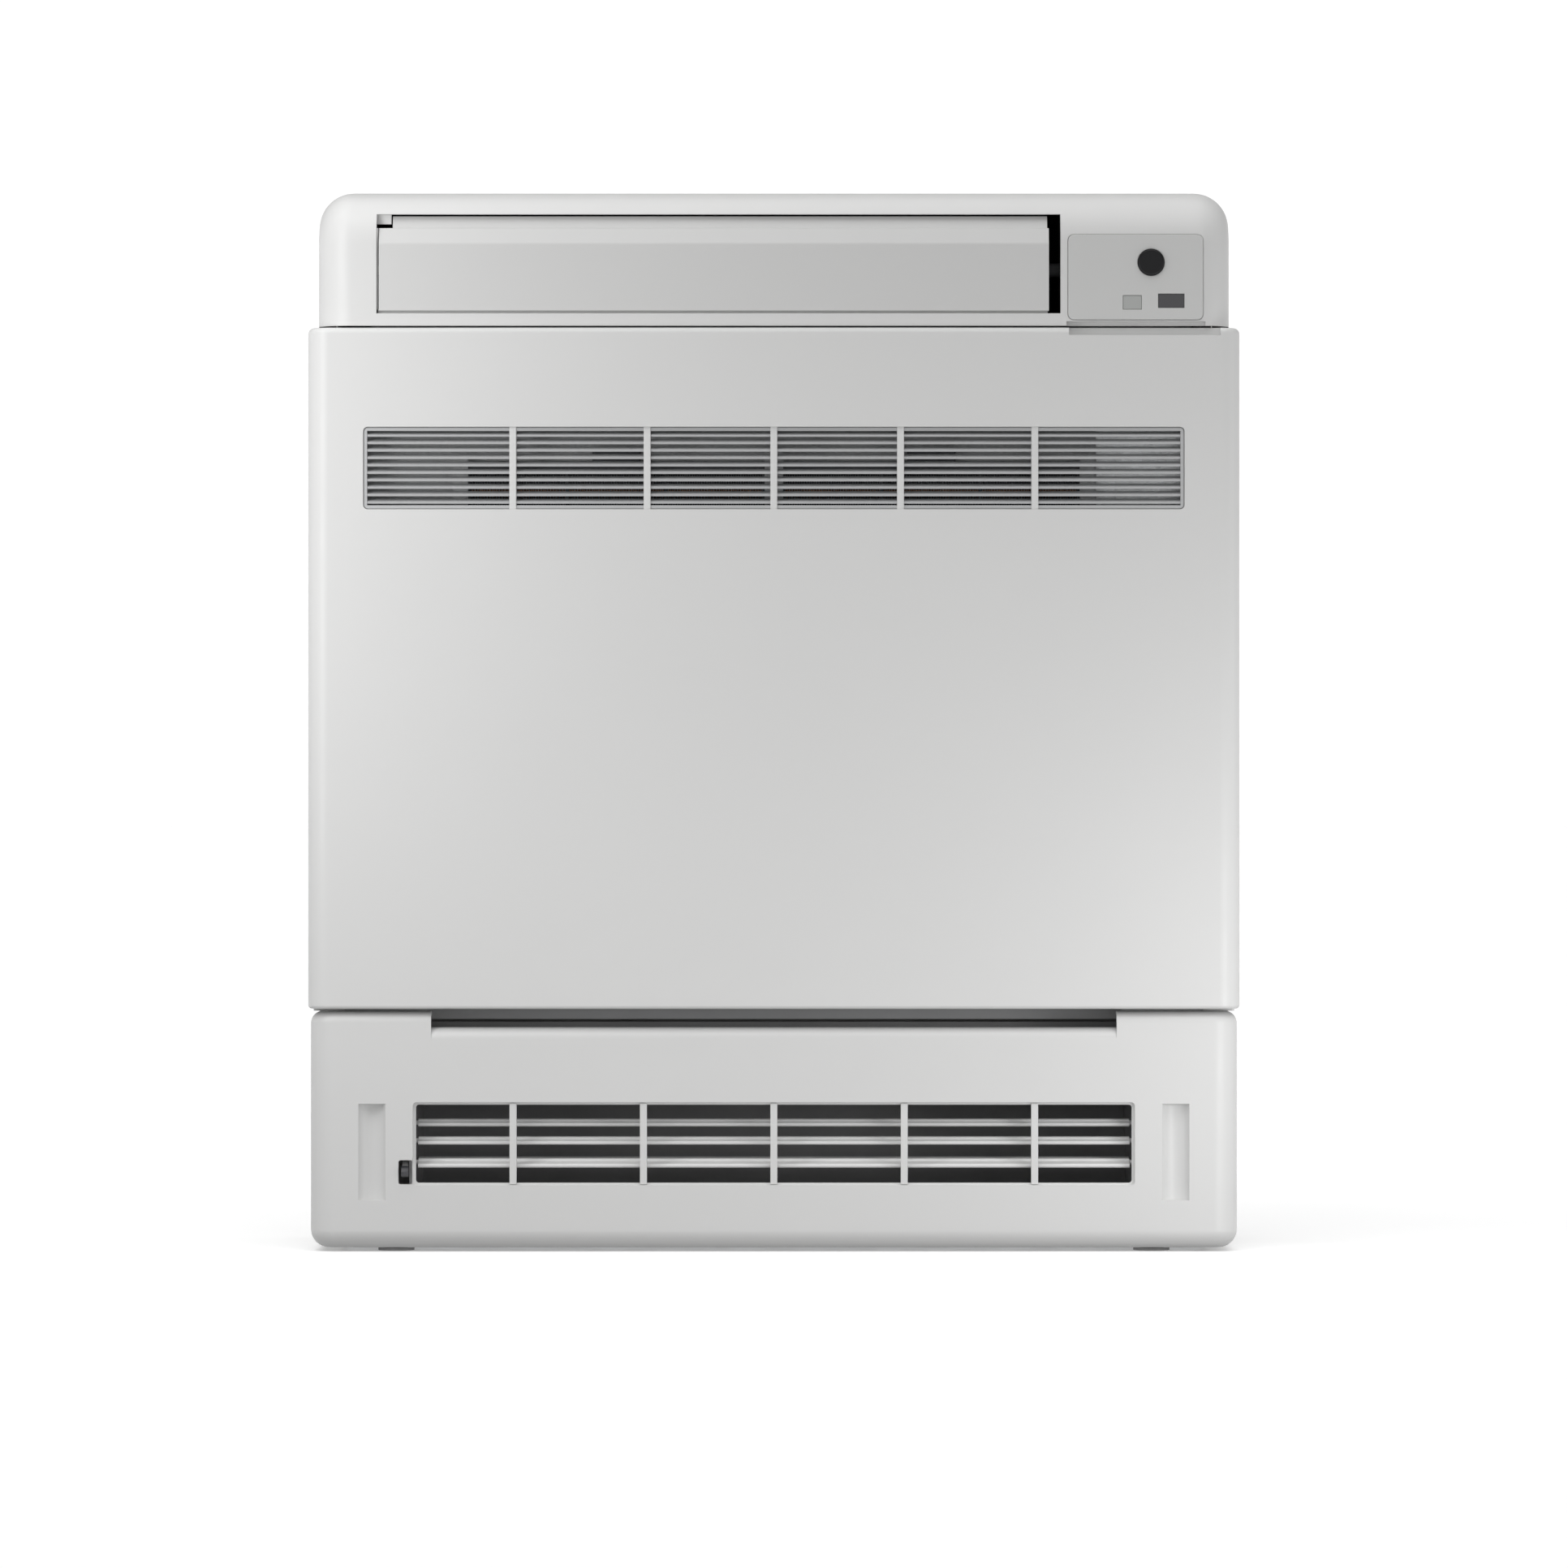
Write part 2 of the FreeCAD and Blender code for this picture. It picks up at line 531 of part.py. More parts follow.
def blade(label, zed, chord, thick, lever):
    tilt = math.radians(12)
    c, s = math.cos(tilt), math.sin(tilt)
    by = P("blade_y")
    b = body(label + "_blade")
    h = (chord - thick) / 2
    fy, fz, ry, rz = by - h * c, zed - h * s, by + h * c, zed + h * s
    nx, nz = -s * thick / 2, c * thick / 2
    r = thick * 0.56
    along_x(b, label + "_vane", [[(fy - nx, fz - nz), (ry - nx, rz - nz, r), (ry + nx, rz + nz), (fy + nx, fz + nz, r)]], -P("blade_half"), P("blade_half"))
    parts = [b,
             rod(label + "_hub", "x", (by, zed), dim(2.6), -P("blade_half"), P("blade_half")),
             rod(label + "_pin_r", "x", (by, zed), P("blade_pin"), P("blade_half") - 1, dim(243.5)),
             box(label + "_arm", (dim(241.5), dim(243.5)), (by - 3, by + P("blade_arm") + 2.6), (zed - 2.6, zed + 2.6)),
             rod(label + "_crank", "x", (by + P("blade_arm"), zed), dim(1.2), dim(243), dim(247.6))]
    if lever:
        parts.append(rod(label + "_pin_l", "x", (by, zed), P("blade_pin"), dim(-242), -P("blade_half") + 1))
        lv = body(label + "_lever")
        along_x(lv, label + "_lever_pad", [[(by, zed - 4, 4.2), (by, zed + 4), (dim(-100), zed - 2.2), (dim(-105), zed - 3.6),
                                           (dim(-106.6), zed - 5.2), (dim(-106.6), zed - 7.6), (dim(-105), zed - 8.6), (dim(-100), zed - 7.8)]], dim(-245.2), dim(-241.2))
        parts.append(lv)
    else:
        parts.append(rod(label + "_pin_l", "x", (by, zed), P("blade_pin"), dim(-240.3), -P("blade_half") + 1))
    return node(label, fuse(label + "_fuse", parts))


blade("lower_blade_top", P("blade_top_z"), 11.0, 2.2, False)
blade("lower_blade_mid", P("blade_mid_z"), 15.0, 2.4, False)
blade("lower_blade_low", P("blade_low_z"), 22.0, 2.6, True)
link_y = P("blade_y") + P("blade_arm")
link = body("link_bar")
along_x(link, "link_bar_pad", [soft_rect(link_y - 4.2, link_y + 4.2, P("blade_low_z") - 5, P("blade_top_z") + 5, 3.5)] +
        [("circle", link_y, P(w), 1.75) for w in ("blade_top_z", "blade_mid_z", "blade_low_z")], dim(244.2), dim(246.4))
node("lower_link", link)

# --------------------------------------------------------------- base, feet

tray = body("base_tray")
along_z(tray, "base_tray_pad", [soft_rect(-P("tray_half_width"), P("tray_half_width"), P("tray_front"), P("chassis_front"), 12)], P("foot_height"), P("tray_top"))
sk = sketch(tray, "base_tray_pocket_outline", "XY_Plane", [soft_rect(-P("tray_half_width") + 2.5, P("tray_half_width") - 2.5, P("tray_front") + 2.5, P("chassis_front") - 2.5, 9.5)], P("tray_top"))
feature(tray, "Pocket", "base_tray_pocket", sk, dim(7.6))
node("base_plate", tray)
node("rubber_feet", group("feet_group", [rod("foot_%d" % i, "z", (x, y), P("foot_radius"), dim(0), P("foot_height")) for i, (x, y) in enumerate(((-250, -75), (250, -75), (-250, 80), (250, 80)))]))

# -------------------------------------------------- side panels and chassis

REAR_SCREWS = [(-290, 185), (-290, 400), (-290, 585), (290, 185), (290, 400), (290, 585)]
FRAME_SCREWS = [(-293, 230), (-293, 400), (-293, 570), (293, 230), (293, 400), (293, 570)]


def side_panel(label, sign):
    b = body(label + "_sheet")
    o, f = P("side_outer"), P("side_front")
    r = P("chassis_front")
    pts = [(o, f), (o, r), (o - P("side_flange"), r), (o - P("side_flange"), r - WALL), (o - WALL, r - WALL), (o - WALL, f + WALL), (o - P("side_flange"), f + WALL), (o - P("side_flange"), f)]
    if sign < 0:
        pts = [(-a, c) for a, c in reversed(pts)]
    along_z(b, label + "_pad", [pts], P("base_top"), dim(609.2))
    soften(b, label + "_edges", b.Tip, lambda e, m: near(abs(m.x), P("side_outer")) and (near(m.y, P("side_front")) or near(m.y, P("chassis_front"))) and e.BoundBox.ZLength > 100, dim(1.8))
    tools = [rod("%s_rear_%d" % (label, i), "y", (x, z), dim(2.0), dim(95), dim(110)) for i, (x, z) in enumerate(REAR_SCREWS) if x * sign > 0]
    tools += [rod("%s_front_%d" % (label, i), "y", (x, z), dim(2.0), dim(-90), dim(-78)) for i, (x, z) in enumerate(FRAME_SCREWS) if x * sign > 0]
    return node(label, cut(label + "_cut", b, tools))


side_panel("left_side_panel", -1)
side_panel("right_side_panel", 1)

ch = P("chassis_half")
cf = P("chassis_front")
cb = cf + P("chassis_plate")
chassis = body("chassis_sheet")


def chassis_outline(inset):
    a, r = ch - inset, 27 - inset * 0.5
    low, high = 4.0 + inset, H - 4 - inset
    return [(-a, low), (a, low), (a, high - r, r), (a - r, high), (-a + r, high, r), (-a, high - r)]


along_y(chassis, "chassis_pad", [chassis_outline(0)], cf, cb)
along_y(chassis, "chassis_rim", [chassis_outline(0), chassis_outline(12)], cb, REAR)
for i, x in enumerate((-140, 140)):
    along_y(chassis, "chassis_upright_%d" % i, [rect(dim(x - 5), dim(x + 5), dim(10), H - 10)], cb, REAR)
for i, z in enumerate((250, 470)):
    along_y(chassis, "chassis_cross_%d" % i, [rect(-ch + 6, ch - 6, dim(z - 5), dim(z + 5))], cb, REAR)
WALL_HOLES = [(sx * P("wall_hole_x"), P(w)) for sx in (-1, 1) for w in ("wall_hole_low", "wall_hole_high")]
for i, (x, z) in enumerate(WALL_HOLES):
    along_y(chassis, "chassis_boss_%d" % i, [("circle", x, z, dim(11))], cb, REAR)
tools = [rod("wall_hole_%d" % i, "y", (x, z), P("wall_hole_radius"), dim(95), dim(115)) for i, (x, z) in enumerate(WALL_HOLES)]
tools += [rod("rear_screw_hole_%d" % i, "y", (x, z), dim(2.0), dim(95), dim(115)) for i, (x, z) in enumerate(REAR_SCREWS)]
tools += [rod("rear_screw_seat_%d" % i, "y", (x, z), dim(4.6), cb, dim(115)) for i, (x, z) in enumerate(REAR_SCREWS)]
pipe_gate = body("pipe_gate")
along_y(pipe_gate, "pipe_gate_pad", [soft_rect(dim(-290), dim(-244), dim(34), dim(140), 8)], dim(95), dim(115))
tools.append(pipe_gate)
tools.append(rod("gland_hole", "y", (P("gland_x"), P("gland_z")), dim(8.0), dim(95), dim(115)))
tools.append(rod("gland_seat", "y", (P("gland_x"), P("gland_z")), dim(13), cb, dim(115)))
node("rear_chassis", cut("rear_chassis_cut", chassis, tools))

gl = body("gland")
place(gl, P("gland_x"), 0, P("gland_z"))
gb = P("gland_bore")
spin(gl, "gland_turn", [(gb, dim(90)), (dim(7.8), dim(90)), (dim(7.8), cb), (dim(12), cb), (dim(12), cb + 1.2), (dim(11), cb + 2.2), (gb, cb + 2.2)])
node("cable_gland", gl)

screws = []
for i, (x, z) in enumerate(REAR_SCREWS):
    screws.append(fuse("rear_screw_%d" % i, [rod("rear_shank_%d" % i, "y", (x, z), dim(1.9), dim(99.9), cb), rod("rear_head_%d" % i, "y", (x, z), dim(3.7), cb, cb + 2)]))
for i, (x, z) in enumerate(FRAME_SCREWS):
    screws.append(fuse("frame_screw_%d" % i, [rod("frame_shank_%d" % i, "y", (x, z), dim(1.9), P("side_front"), dim(-80.9)), rod("frame_head_%d" % i, "y", (x, z), dim(3.7), P("side_front") - 2, P("side_front"))]))
node("assembly_screws", group("screw_group", screws))

# -------------------------------------------------------------- front frame

ff = P("frame_front")
fb = ff + P("frame_thick")
frame_sheet = body("frame_sheet")
along_y(frame_sheet, "frame_sheet_pad", [soft_rect(dim(-300), dim(300), dim(160), dim(604), 3),
                                         soft_rect(dim(-206), dim(206), P("coil_low"), P("coil_high") + 4, 4),
                                         soft_rect(dim(240), dim(284), dim(220), dim(540), 4)] +
        [("circle", dim(x), dim(z), dim(2.0)) for x, z in FRAME_SCREWS], ff, fb)
fo = P("filter_outer")
rails = []
for i, sign in enumerate((-1, 1)):
    lo, hi = (-fo - 6.5, -fo - 0.9) if sign < 0 else (fo + 0.9, fo + 6.5)
    rails.append(box("rail_%d" % i, (lo, hi), (dim(-92.5), ff), (dim(180), dim(524))))
    lo, hi = (-fo - 1.5, -fo + 3.5) if sign < 0 else (fo - 3.5, fo + 1.5)
    rails.append(box("rail_lip_%d" % i, (lo, hi), (dim(-92.5), dim(-90.9)), (dim(180), dim(524))))
rails.append(box("rail_mid", (dim(-1.5), dim(1.5)), (dim(-92.5), ff + 0.5), (dim(180), dim(530))))
rails.append(box("rail_mid_lip", (dim(-6), dim(6)), (dim(-92.5), dim(-90.9)), (dim(180), dim(530))))
rails.append(box("rail_foot", (-fo - 2, fo + 2), (dim(-92.5), ff), (dim(180), P("filter_low") - 0.4)))
rails.append(box("rail_foot_lip", (-fo - 2, fo + 2), (dim(-92.5), dim(-90.9)), (dim(180), dim(190))))
for i, x in enumerate((-178, 178)):
    rails.append(box("catch_%d" % i, (dim(x - 9), dim(x + 9)), (dim(-92.3), ff), (dim(586), dim(599))))
rails.append(box("frame_head", (dim(-266), dim(266)), (ff, fb), (dim(602), dim(612.6))))
rails.append(box("frame_toe_0", (dim(-286), dim(-230)), (ff, fb), (dim(152), dim(162))))
rails.append(box("frame_toe_1", (dim(230), dim(286)), (ff, fb), (dim(152), dim(162))))
node("front_frame", fuse("front_frame_fuse", [frame_sheet] + rails))

brackets = []
hy, hz, hp = P("hinge_y"), P("hinge_z"), P("hinge_pin")
for i, sign in enumerate((-1, 1)):
    b = body("bracket_%d" % i)
    lo, hi = (dim(-298), dim(-291)) if sign < 0 else (dim(291), dim(298))
    sf = P("side_front")
    along_x(b, "bracket_arm_%d" % i, [[(hy, hz + 4, 4.12), (hy, hz - 4), (sf, hz - 4), (sf, hz + 14), (sf - 2.5, hz + 14), (sf - 2.5, hz + 4)]], lo, hi)
    brackets.append(cut("bracket_bored_%d" % i, b, rod("bracket_bore_%d" % i, "x", (hy, hz), hp + P("hinge_play"), lo - 5, hi + 5)))
node("hinge_brackets", group("bracket_group", brackets))

# -------------------------------------------------------------- front panel


def panel_block(name, inset, low, high, rear):
    b = body(name)
    half, r = W / 2 - inset, P("panel_corner") - inset
    flat = half - r
    bow = P("panel_bow")
    y_edge = FRONT + inset + bow
    big = (flat * flat + bow * bow) / (bow * 2)
    along_z(b, name + "_block", [[(-half, rear), (-half, y_edge + r, r), (-flat, y_edge, big), (flat, y_edge, r), (half, y_edge + r), (half, rear)]], low, high)
    return b


panel_rear = FRONT + P("panel_rim")
panel_outer = panel_block("panel_outer", dim(0), P("panel_low"), P("panel_high"), panel_rear)
soften(panel_outer, "panel_outer_top", panel_outer.Tip, lambda e, m: near(m.z, P("panel_high")) and not near(m.y, panel_rear) and e.BoundBox.ZLength < 0.02, dim(4))
soften(panel_outer, "panel_outer_low", panel_outer.Tip, lambda e, m: near(m.z, P("panel_low")) and not near(m.y, panel_rear) and e.BoundBox.ZLength < 0.02, dim(2.4))
panel_inner = panel_block("panel_inner", WALL, P("panel_low") - 20, P("panel_high") - WALL, panel_rear + 20)
panel_gate = body("panel_gate")
along_y(panel_gate, "panel_gate_pad", [soft_rect(-P("grille_half"), P("grille_half"), P("grille_low"), P("grille_high"), 3)], FRONT - 10, dim(-95))
panel_shell = cut("panel_shell", panel_outer, [panel_inner, panel_gate])
# Finger pull in the top edge, under the control end of the cover.
pull_back = box("pull_back", (dim(193), dim(296)), (dim(-104.6), dim(-97.6)), (P("panel_high") - 8, P("panel_high") - 1.4))
pull_cut = box("pull_cut", (dim(194.6), dim(294.4)), (FRONT - 10, dim(-99.4)), (P("panel_high") - 5, P("panel_high") + 10))
panel_shell = cut("panel_pull", fuse("panel_backed", [panel_shell, pull_back]), pull_cut)
pins = []
for i, sign in enumerate((-1, 1)):
    tip, root = W / 2 - WALL - 1.4, W / 2 - WALL - 3.0
    if sign > 0:
        pins.append(rod("hinge_pin_%d" % i, "x", (hy, hz), hp, dim(290), tip))
        pins.append(rod("hinge_root_%d" % i, "x", (hy, hz), dim(4), dim(301), root))
    else:
        pins.append(rod("hinge_pin_%d" % i, "x", (hy, hz), hp, -tip, dim(-290)))
        pins.append(rod("hinge_root_%d" % i, "x", (hy, hz), dim(4), -root, dim(-301)))
node("front_panel", fuse("front_panel_fuse", [panel_shell] + pins))

node("panel_latches", group("latch_group", [box("latch_%d" % i, (dim(x - 6), dim(x + 6)), (dim(-100), dim(-93)), (dim(594), P("panel_high") - WALL)) for i, x in enumerate((-178, 178))]))

gh, g0, g1 = P("grille_half"), P("grille_low"), P("grille_high")
ring_y = FRONT + 2.0
grille_ring = body("grille_ring")
along_y(grille_ring, "grille_ring_pad", [soft_rect(-gh + 0.35, gh - 0.35, g0 + 0.35, g1 - 0.35, 2.7), rect(-gh + 2.6, gh - 2.6, g0 + 2.6, g1 - 2.6)], ring_y, FRONT + 6.4)
along_y(grille_ring, "grille_flange_pad", [soft_rect(-gh - 6, gh + 6, g0 - 6, g1 + 6, 4), rect(-gh + 2.6, gh - 2.6, g0 + 2.6, g1 - 2.6)], FRONT + 4.3, FRONT + 6.4)
slats = []
tilt = Rotation(Vector(1, 0, 0), 18)
for i in range(10):
    s = doc.addObject("Part::Box", "slat_%d" % i)
    size(s, "Length", (gh - 2) * 2)
    size(s, "Width", P("slat_deep"))
    size(s, "Height", P("slat_thick"))
    place(s, -gh + 2, FRONT + 2.6, g0 + 2.6 + P("slat_pitch") * i + 1.0, tilt)
    slats.append(s)
bars = [box("grille_bar_%d" % i, (x - P("bar_wide") / 2, x + P("bar_wide") / 2), (FRONT + 2.3, FRONT + 9.4), (g0 + 1.6, g1 - 1.6))
        for i, x in enumerate((dim(0), P("bar_near"), -P("bar_near"), P("bar_far"), -P("bar_far")))]
node("intake_grille", fuse("intake_grille_fuse", [grille_ring] + slats + bars))

# ------------------------------------------------------------------ filters


def air_filter(label, sign):
    a, b = P("filter_half_gap"), P("filter_outer")
    y0, y1, z0, z1 = P("filter_front"), P("filter_rear"), P("filter_low"), P("filter_high")
    x0 = a if sign > 0 else -b
    block = box(label + "_block", (x0, x0 + (b - a)), (y0, y1), (z0, z1))
    panes = []
    cols, rows = 3, 5
    pw = (b - a - 10 - 2.2 * (cols - 1)) / cols
    ph = (z1 - z0 - 12 - 2.2 * (rows - 1)) / rows
    for i in range(cols):
        for j in range(rows):
            px, pz = x0 + 5 + (pw + 2.2) * i, z0 + 6 + (ph + 2.2) * j
            panes.append(box("%s_pane_%d_%d" % (label, i, j), (px, px + pw), (y0 - 2, y1 + 2), (pz, pz + ph)))
    frame = cut(label + "_frame", block, group(label + "_panes", panes))
    net = box(label + "_net", (x0 + 3, x0 + (b - a) - 3), (y0 + 2.9, y0 + 3.5), (z0 + 3, z1 - 3))
    tab = box(label + "_tab", (x0 + (b - a) / 2 - 16, x0 + (b - a) / 2 + 16), (y0, y0 + 2), (z1 - 1, z1 + 11))
    return node(label, fuse(label + "_fuse", [frame, net, tab]))


air_filter("air_filter_left", -1)
air_filter("air_filter_right", 1)

# ----------------------------------------------------------- louver, vanes

ly, lz = P("louver_axis_y"), P("louver_axis_z")
yl = COVER + 0.3
lw = P("louver_wall")
lc = COVER + P("top_arc")
zl = H - P("top_arc")
slope_low, slope_high, slope_back = zl + 0.4, zl + 11.6, yl + 4.8


def on_arc(radius, degrees):
    a = math.radians(degrees)
    return lc - dim(radius) * math.cos(a), zl + dim(radius) * math.sin(a)


# A flat face with a sloped top edge, which steps back under the lip of the
# cover, short of the left end.
louver = body("louver_plate")
along_x(louver, "louver_plate_pad", [[(yl, P("louver_low")), (yl, slope_low), (slope_back, slope_high), (slope_back + 2.3, slope_high - 1.1), (yl + lw, slope_low - 0.5), (yl + lw, P("louver_low"))]], P("louver_left"), P("louver_right"))
soften(louver, "louver_crease", louver.Tip, lambda e, m: e.BoundBox.XLength > 100 and near(m.z, slope_low) and near(m.y, yl), dim(7))
soften(louver, "louver_edges", louver.Tip, lambda e, m: e.BoundBox.XLength > 100 and (near(m.z, P("louver_low")) and near(m.y, yl) or near(m.z, slope_high)), dim(0.9))
along_x(louver, "louver_tuck", [[(slope_back - 0.7, slope_high - 2.4), (slope_back + 1.5, slope_high + 0.9), on_arc(31.9, 31), on_arc(31.9, 37.5),
                                 on_arc(30.1, 37.5), on_arc(30.1, 30), (slope_back + 3.2, slope_high + 0.3), (slope_back + 0.9, slope_high - 3.4)]], P("louver_left") + 9, P("louver_right") - 1)
ear = [(yl + lw - 0.6, lz - 16), (ly, lz - 5, 5.1), (ly, lz + 5), (yl + lw - 0.6, lz + 12)]
along_x(louver, "louver_ear_left", [ear], P("louver_left"), P("louver_left") + 2.6)
along_x(louver, "louver_ear_right", [ear], P("louver_right") - 2.6, P("louver_right"))
for i, z in enumerate((630, 656)):
    along_x(louver, "louver_rib_%d" % i, [rect(yl + lw - 0.5, yl + lw + 3, dim(z), dim(z + 1.6))], P("louver_left") + 1, P("louver_right") - 1)
node("upper_louver", fuse("upper_louver_fuse", [louver, rod("louver_pin_left", "x", (ly, lz), P("louver_pin"), dim(-267), P("louver_left") + 1)]))
node("louver_crank", fuse("louver_crank_fuse", [
    rod("crank_hub", "x", (ly, lz), dim(4.5), P("louver_right"), dim(196)),
    rod("crank_shaft", "x", (ly, lz), dim(2.5), dim(195), dim(205))]))

mc = ly + 9
motor_l = fuse("louver_motor_raw", [
    rod("louver_motor_can", "x", (mc, lz), dim(14), dim(196.5), dim(212)),
    box("louver_motor_ears", (dim(196.5), dim(198)), (mc - 4, mc + 4), (lz - 22, lz + 22)),
    rod("louver_motor_post_a", "x", (mc, lz - 18.5), dim(3), dim(191.5), dim(197)),
    rod("louver_motor_post_b", "x", (mc, lz + 18.5), dim(3), dim(191.5), dim(197))])
node("louver_motor", cut("louver_motor_cut", motor_l, rod("louver_motor_bore", "x", (ly, lz), dim(2.55), dim(190), dim(206))))

VANES = [P("vane_first") + P("vane_step") * i for i in range(6)]
dl, dr = P("opening_left") - 2, P("opening_right")
up_duct = body("up_duct")
side_plate = [(dim(-98), dim(614)), (dim(-14), dim(614)), (dim(-36), dim(575)), (dim(102), dim(575)), (dim(102), dim(612), 78.5), (dim(23.5), dim(690.5)), (dim(-74), dim(690.5)), (dim(-98), dim(672))]
along_x(up_duct, "up_duct_left", [side_plate], dl, dl + 2.5)
along_x(up_duct, "up_duct_floor", [[(dim(-98), dim(614)), (dim(-14), dim(614)), (dim(-36), dim(575)), (dim(-33.4), dim(575)), (dim(-10), dim(616.5)), (dim(-98), dim(616.5))]], dl + 1, dr + 1)
along_x(up_duct, "up_duct_back", [[(dim(99.5), dim(575)), (dim(102), dim(575)), (dim(102), dim(612), 78.5), (dim(23.5), dim(690.5)), (dim(-74), dim(690.5)), (dim(-74), dim(688)), (dim(23.5), dim(688), -76), (dim(99.5), dim(612))]], dl + 1, dr + 1)
along_x(up_duct, "up_duct_right", [side_plate], dr, dr + 2.5)
tools = [rod("louver_bush_left", "x", (ly, lz), P("louver_pin") + P("hinge_play"), dl - 5, dl + 5),
         rod("louver_bush_right", "x", (ly, lz), dim(5.2), dr - 5, dr + 5)]
tools += [rod("vane_socket_%d" % i, "z", (x, P("vane_y")), P("vane_pin") + P("hinge_play"), dim(610), dim(620)) for i, x in enumerate(VANES)]
node("upper_duct", cut("upper_duct_cut", up_duct, tools))

vy, va = P("vane_y"), P("vane_arm")
for i, x in enumerate(VANES):
    b = body("vane_blade_%d" % i)
    t = P("vane_thick") / 2
    along_z(b, "vane_blade_pad_%d" % i, [[(x - t, vy - P("vane_ahead"), 0.95), (x + t, vy - P("vane_ahead")), (x + t, vy + va + 2.4, 0.95), (x - t, vy + va + 2.4)]], P("vane_low"), P("vane_high"))
    node("swing_vane_%d" % (i + 1), fuse("swing_vane_fuse_%d" % i, [
        b,
        rod("vane_spindle_%d" % i, "z", (x, vy), P("vane_pin"), dim(611), P("vane_low") + 6),
        rod("vane_stud_%d" % i, "z", (x, vy + va), dim(1.5), P("vane_high") - 6, dim(673))]))
tie = body("tie_strip")
slots = [soft_rect(x - 2.0, x + 2.0, vy + va - 4.2, vy + va + 2.2, 1.9) for x in VANES]
along_z(tie, "tie_strip_pad", [soft_rect(VANES[0] - 9, VANES[-1] + 9, vy + va - 7, vy + va + 5.5, 3)] + slots, dim(667.2), dim(669.8))
node("vane_tie_bar", tie)

# ------------------------------------------------------------- fan and duct

fz = P("fan_z")
wheel = body("wheel")
place(wheel, 0, 0, fz)
sr = P("shaft_radius")
fbk = P("fan_back")
spin(wheel, "wheel_hub", [(sr, dim(-4)), (dim(13), dim(-4)), (dim(13), dim(9)), (dim(52), dim(9)), (dim(64), fbk - 3), (P("fan_radius") - 1, fbk - 3), (P("fan_radius") - 1, fbk), (dim(62), fbk), (dim(50), dim(12)), (sr, dim(12))])
ff0 = P("fan_front")
a0 = (dim(78), dim(0))
a1 = (dim(115.8), dim(-90.5))
b1 = (dim(118.6), dim(-89.3))
b0 = (dim(80.77), dim(1.16))
wing = along_y(wheel, "wheel_wing", [[(a0[0], a0[1], -110), a1, (b1[0], b1[1], 113), b0]], ff0 - 1, fbk - 1)
around = wheel.newObject("PartDesign::PolarPattern", "wheel_wings")
around.Originals = [wing]
around.Axis = (origin_of(wheel, "Y_Axis"), [""])
around.Angle = 360
around.Occurrences = 7
wheel.Tip = around
spin(wheel, "wheel_shroud", [(P("eye_radius"), ff0 - 7), (P("eye_radius") + 2.5, ff0 - 7), (P("eye_radius") + 2.5, ff0 - 2.5), (P("fan_radius"), ff0 - 2.5), (P("fan_radius"), ff0), (P("eye_radius"), ff0)])
node("fan_wheel", wheel)

node("motor_shaft", rod("motor_shaft_rod", "y", (dim(0), fz), sr, dim(-12), dim(44)))
nut = body("nut")
place(nut, 0, 0, fz)
hexagon = [(dim(7.5 * math.cos(math.radians(60 * k))), dim(7.5 * math.sin(math.radians(60 * k)))) for k in range(6)]
along_y(nut, "nut_pad", [hexagon, ("circle", dim(0), dim(0), sr)], dim(-11), dim(-4))
node("fan_nut", nut)

motor = body("motor_can")
place(motor, 0, 0, fz)
mr = P("motor_radius")
spin(motor, "motor_turn", [(dim(0), dim(78)), (dim(0), dim(46)), (sr + 0.06, dim(46)), (sr + 0.06, dim(18)), (dim(12), dim(18)), (dim(12), dim(22)), (mr - 3, dim(22)), (mr, dim(25)), (mr, dim(75)), (mr - 3, dim(78))])
node("fan_motor", motor)
node("motor_bracket", fuse("motor_bracket_fuse", [box("motor_bracket_plate", (dim(-76), dim(76)), (dim(78), dim(81)), (fz - 48, fz + 48))] +
     [rod("motor_bracket_leg_%d" % i, "y", (x, fz + z), dim(8), dim(80), cf) for i, (x, z) in enumerate(((-62, -36), (62, -36), (-62, 36), (62, 36)))]))

hh = P("housing_half")
left_wall = box("housing_left", (-hh - 2.6, -hh), (dim(-39.3), dim(102.3)), (dim(151), dim(574.4)))
right_wall = fuse("housing_right", [box("housing_right_wall", (hh, hh + 2.6), (dim(-39.3), dim(102.3)), (dim(151), dim(574.4))),
                                    box("housing_right_lid", (dim(192), hh + 1), (dim(-33), dim(99)), (dim(572), dim(574.4)))])
node("fan_housing", group("housing_group", [left_wall, right_wall]))

bf, bt = P("bell_front"), P("bell_throat")
bell = body("bell_lip")
place(bell, 0, 0, fz)
spin(bell, "bell_turn", [(bt + 10, bf, -10), (bt, bf + 10), (bt + 2.5, bf + 10, 7.5), (bt + 10, bf + 2.5), (bt + 13, bf + 2.5), (bt + 13, bf)])
bell_plate = cut("bell_plate", box("bell_sheet", (-hh + 0.4, hh - 0.4), (bf, bf + 2.5), (dim(152), dim(574))), rod("bell_hole", "y", (dim(0), fz), bt + 12, dim(-60), dim(-30)))
node("bell_mouth", fuse("bell_mouth_fuse", [bell_plate, bell]))

# --------------------------------------------------------------------- coil

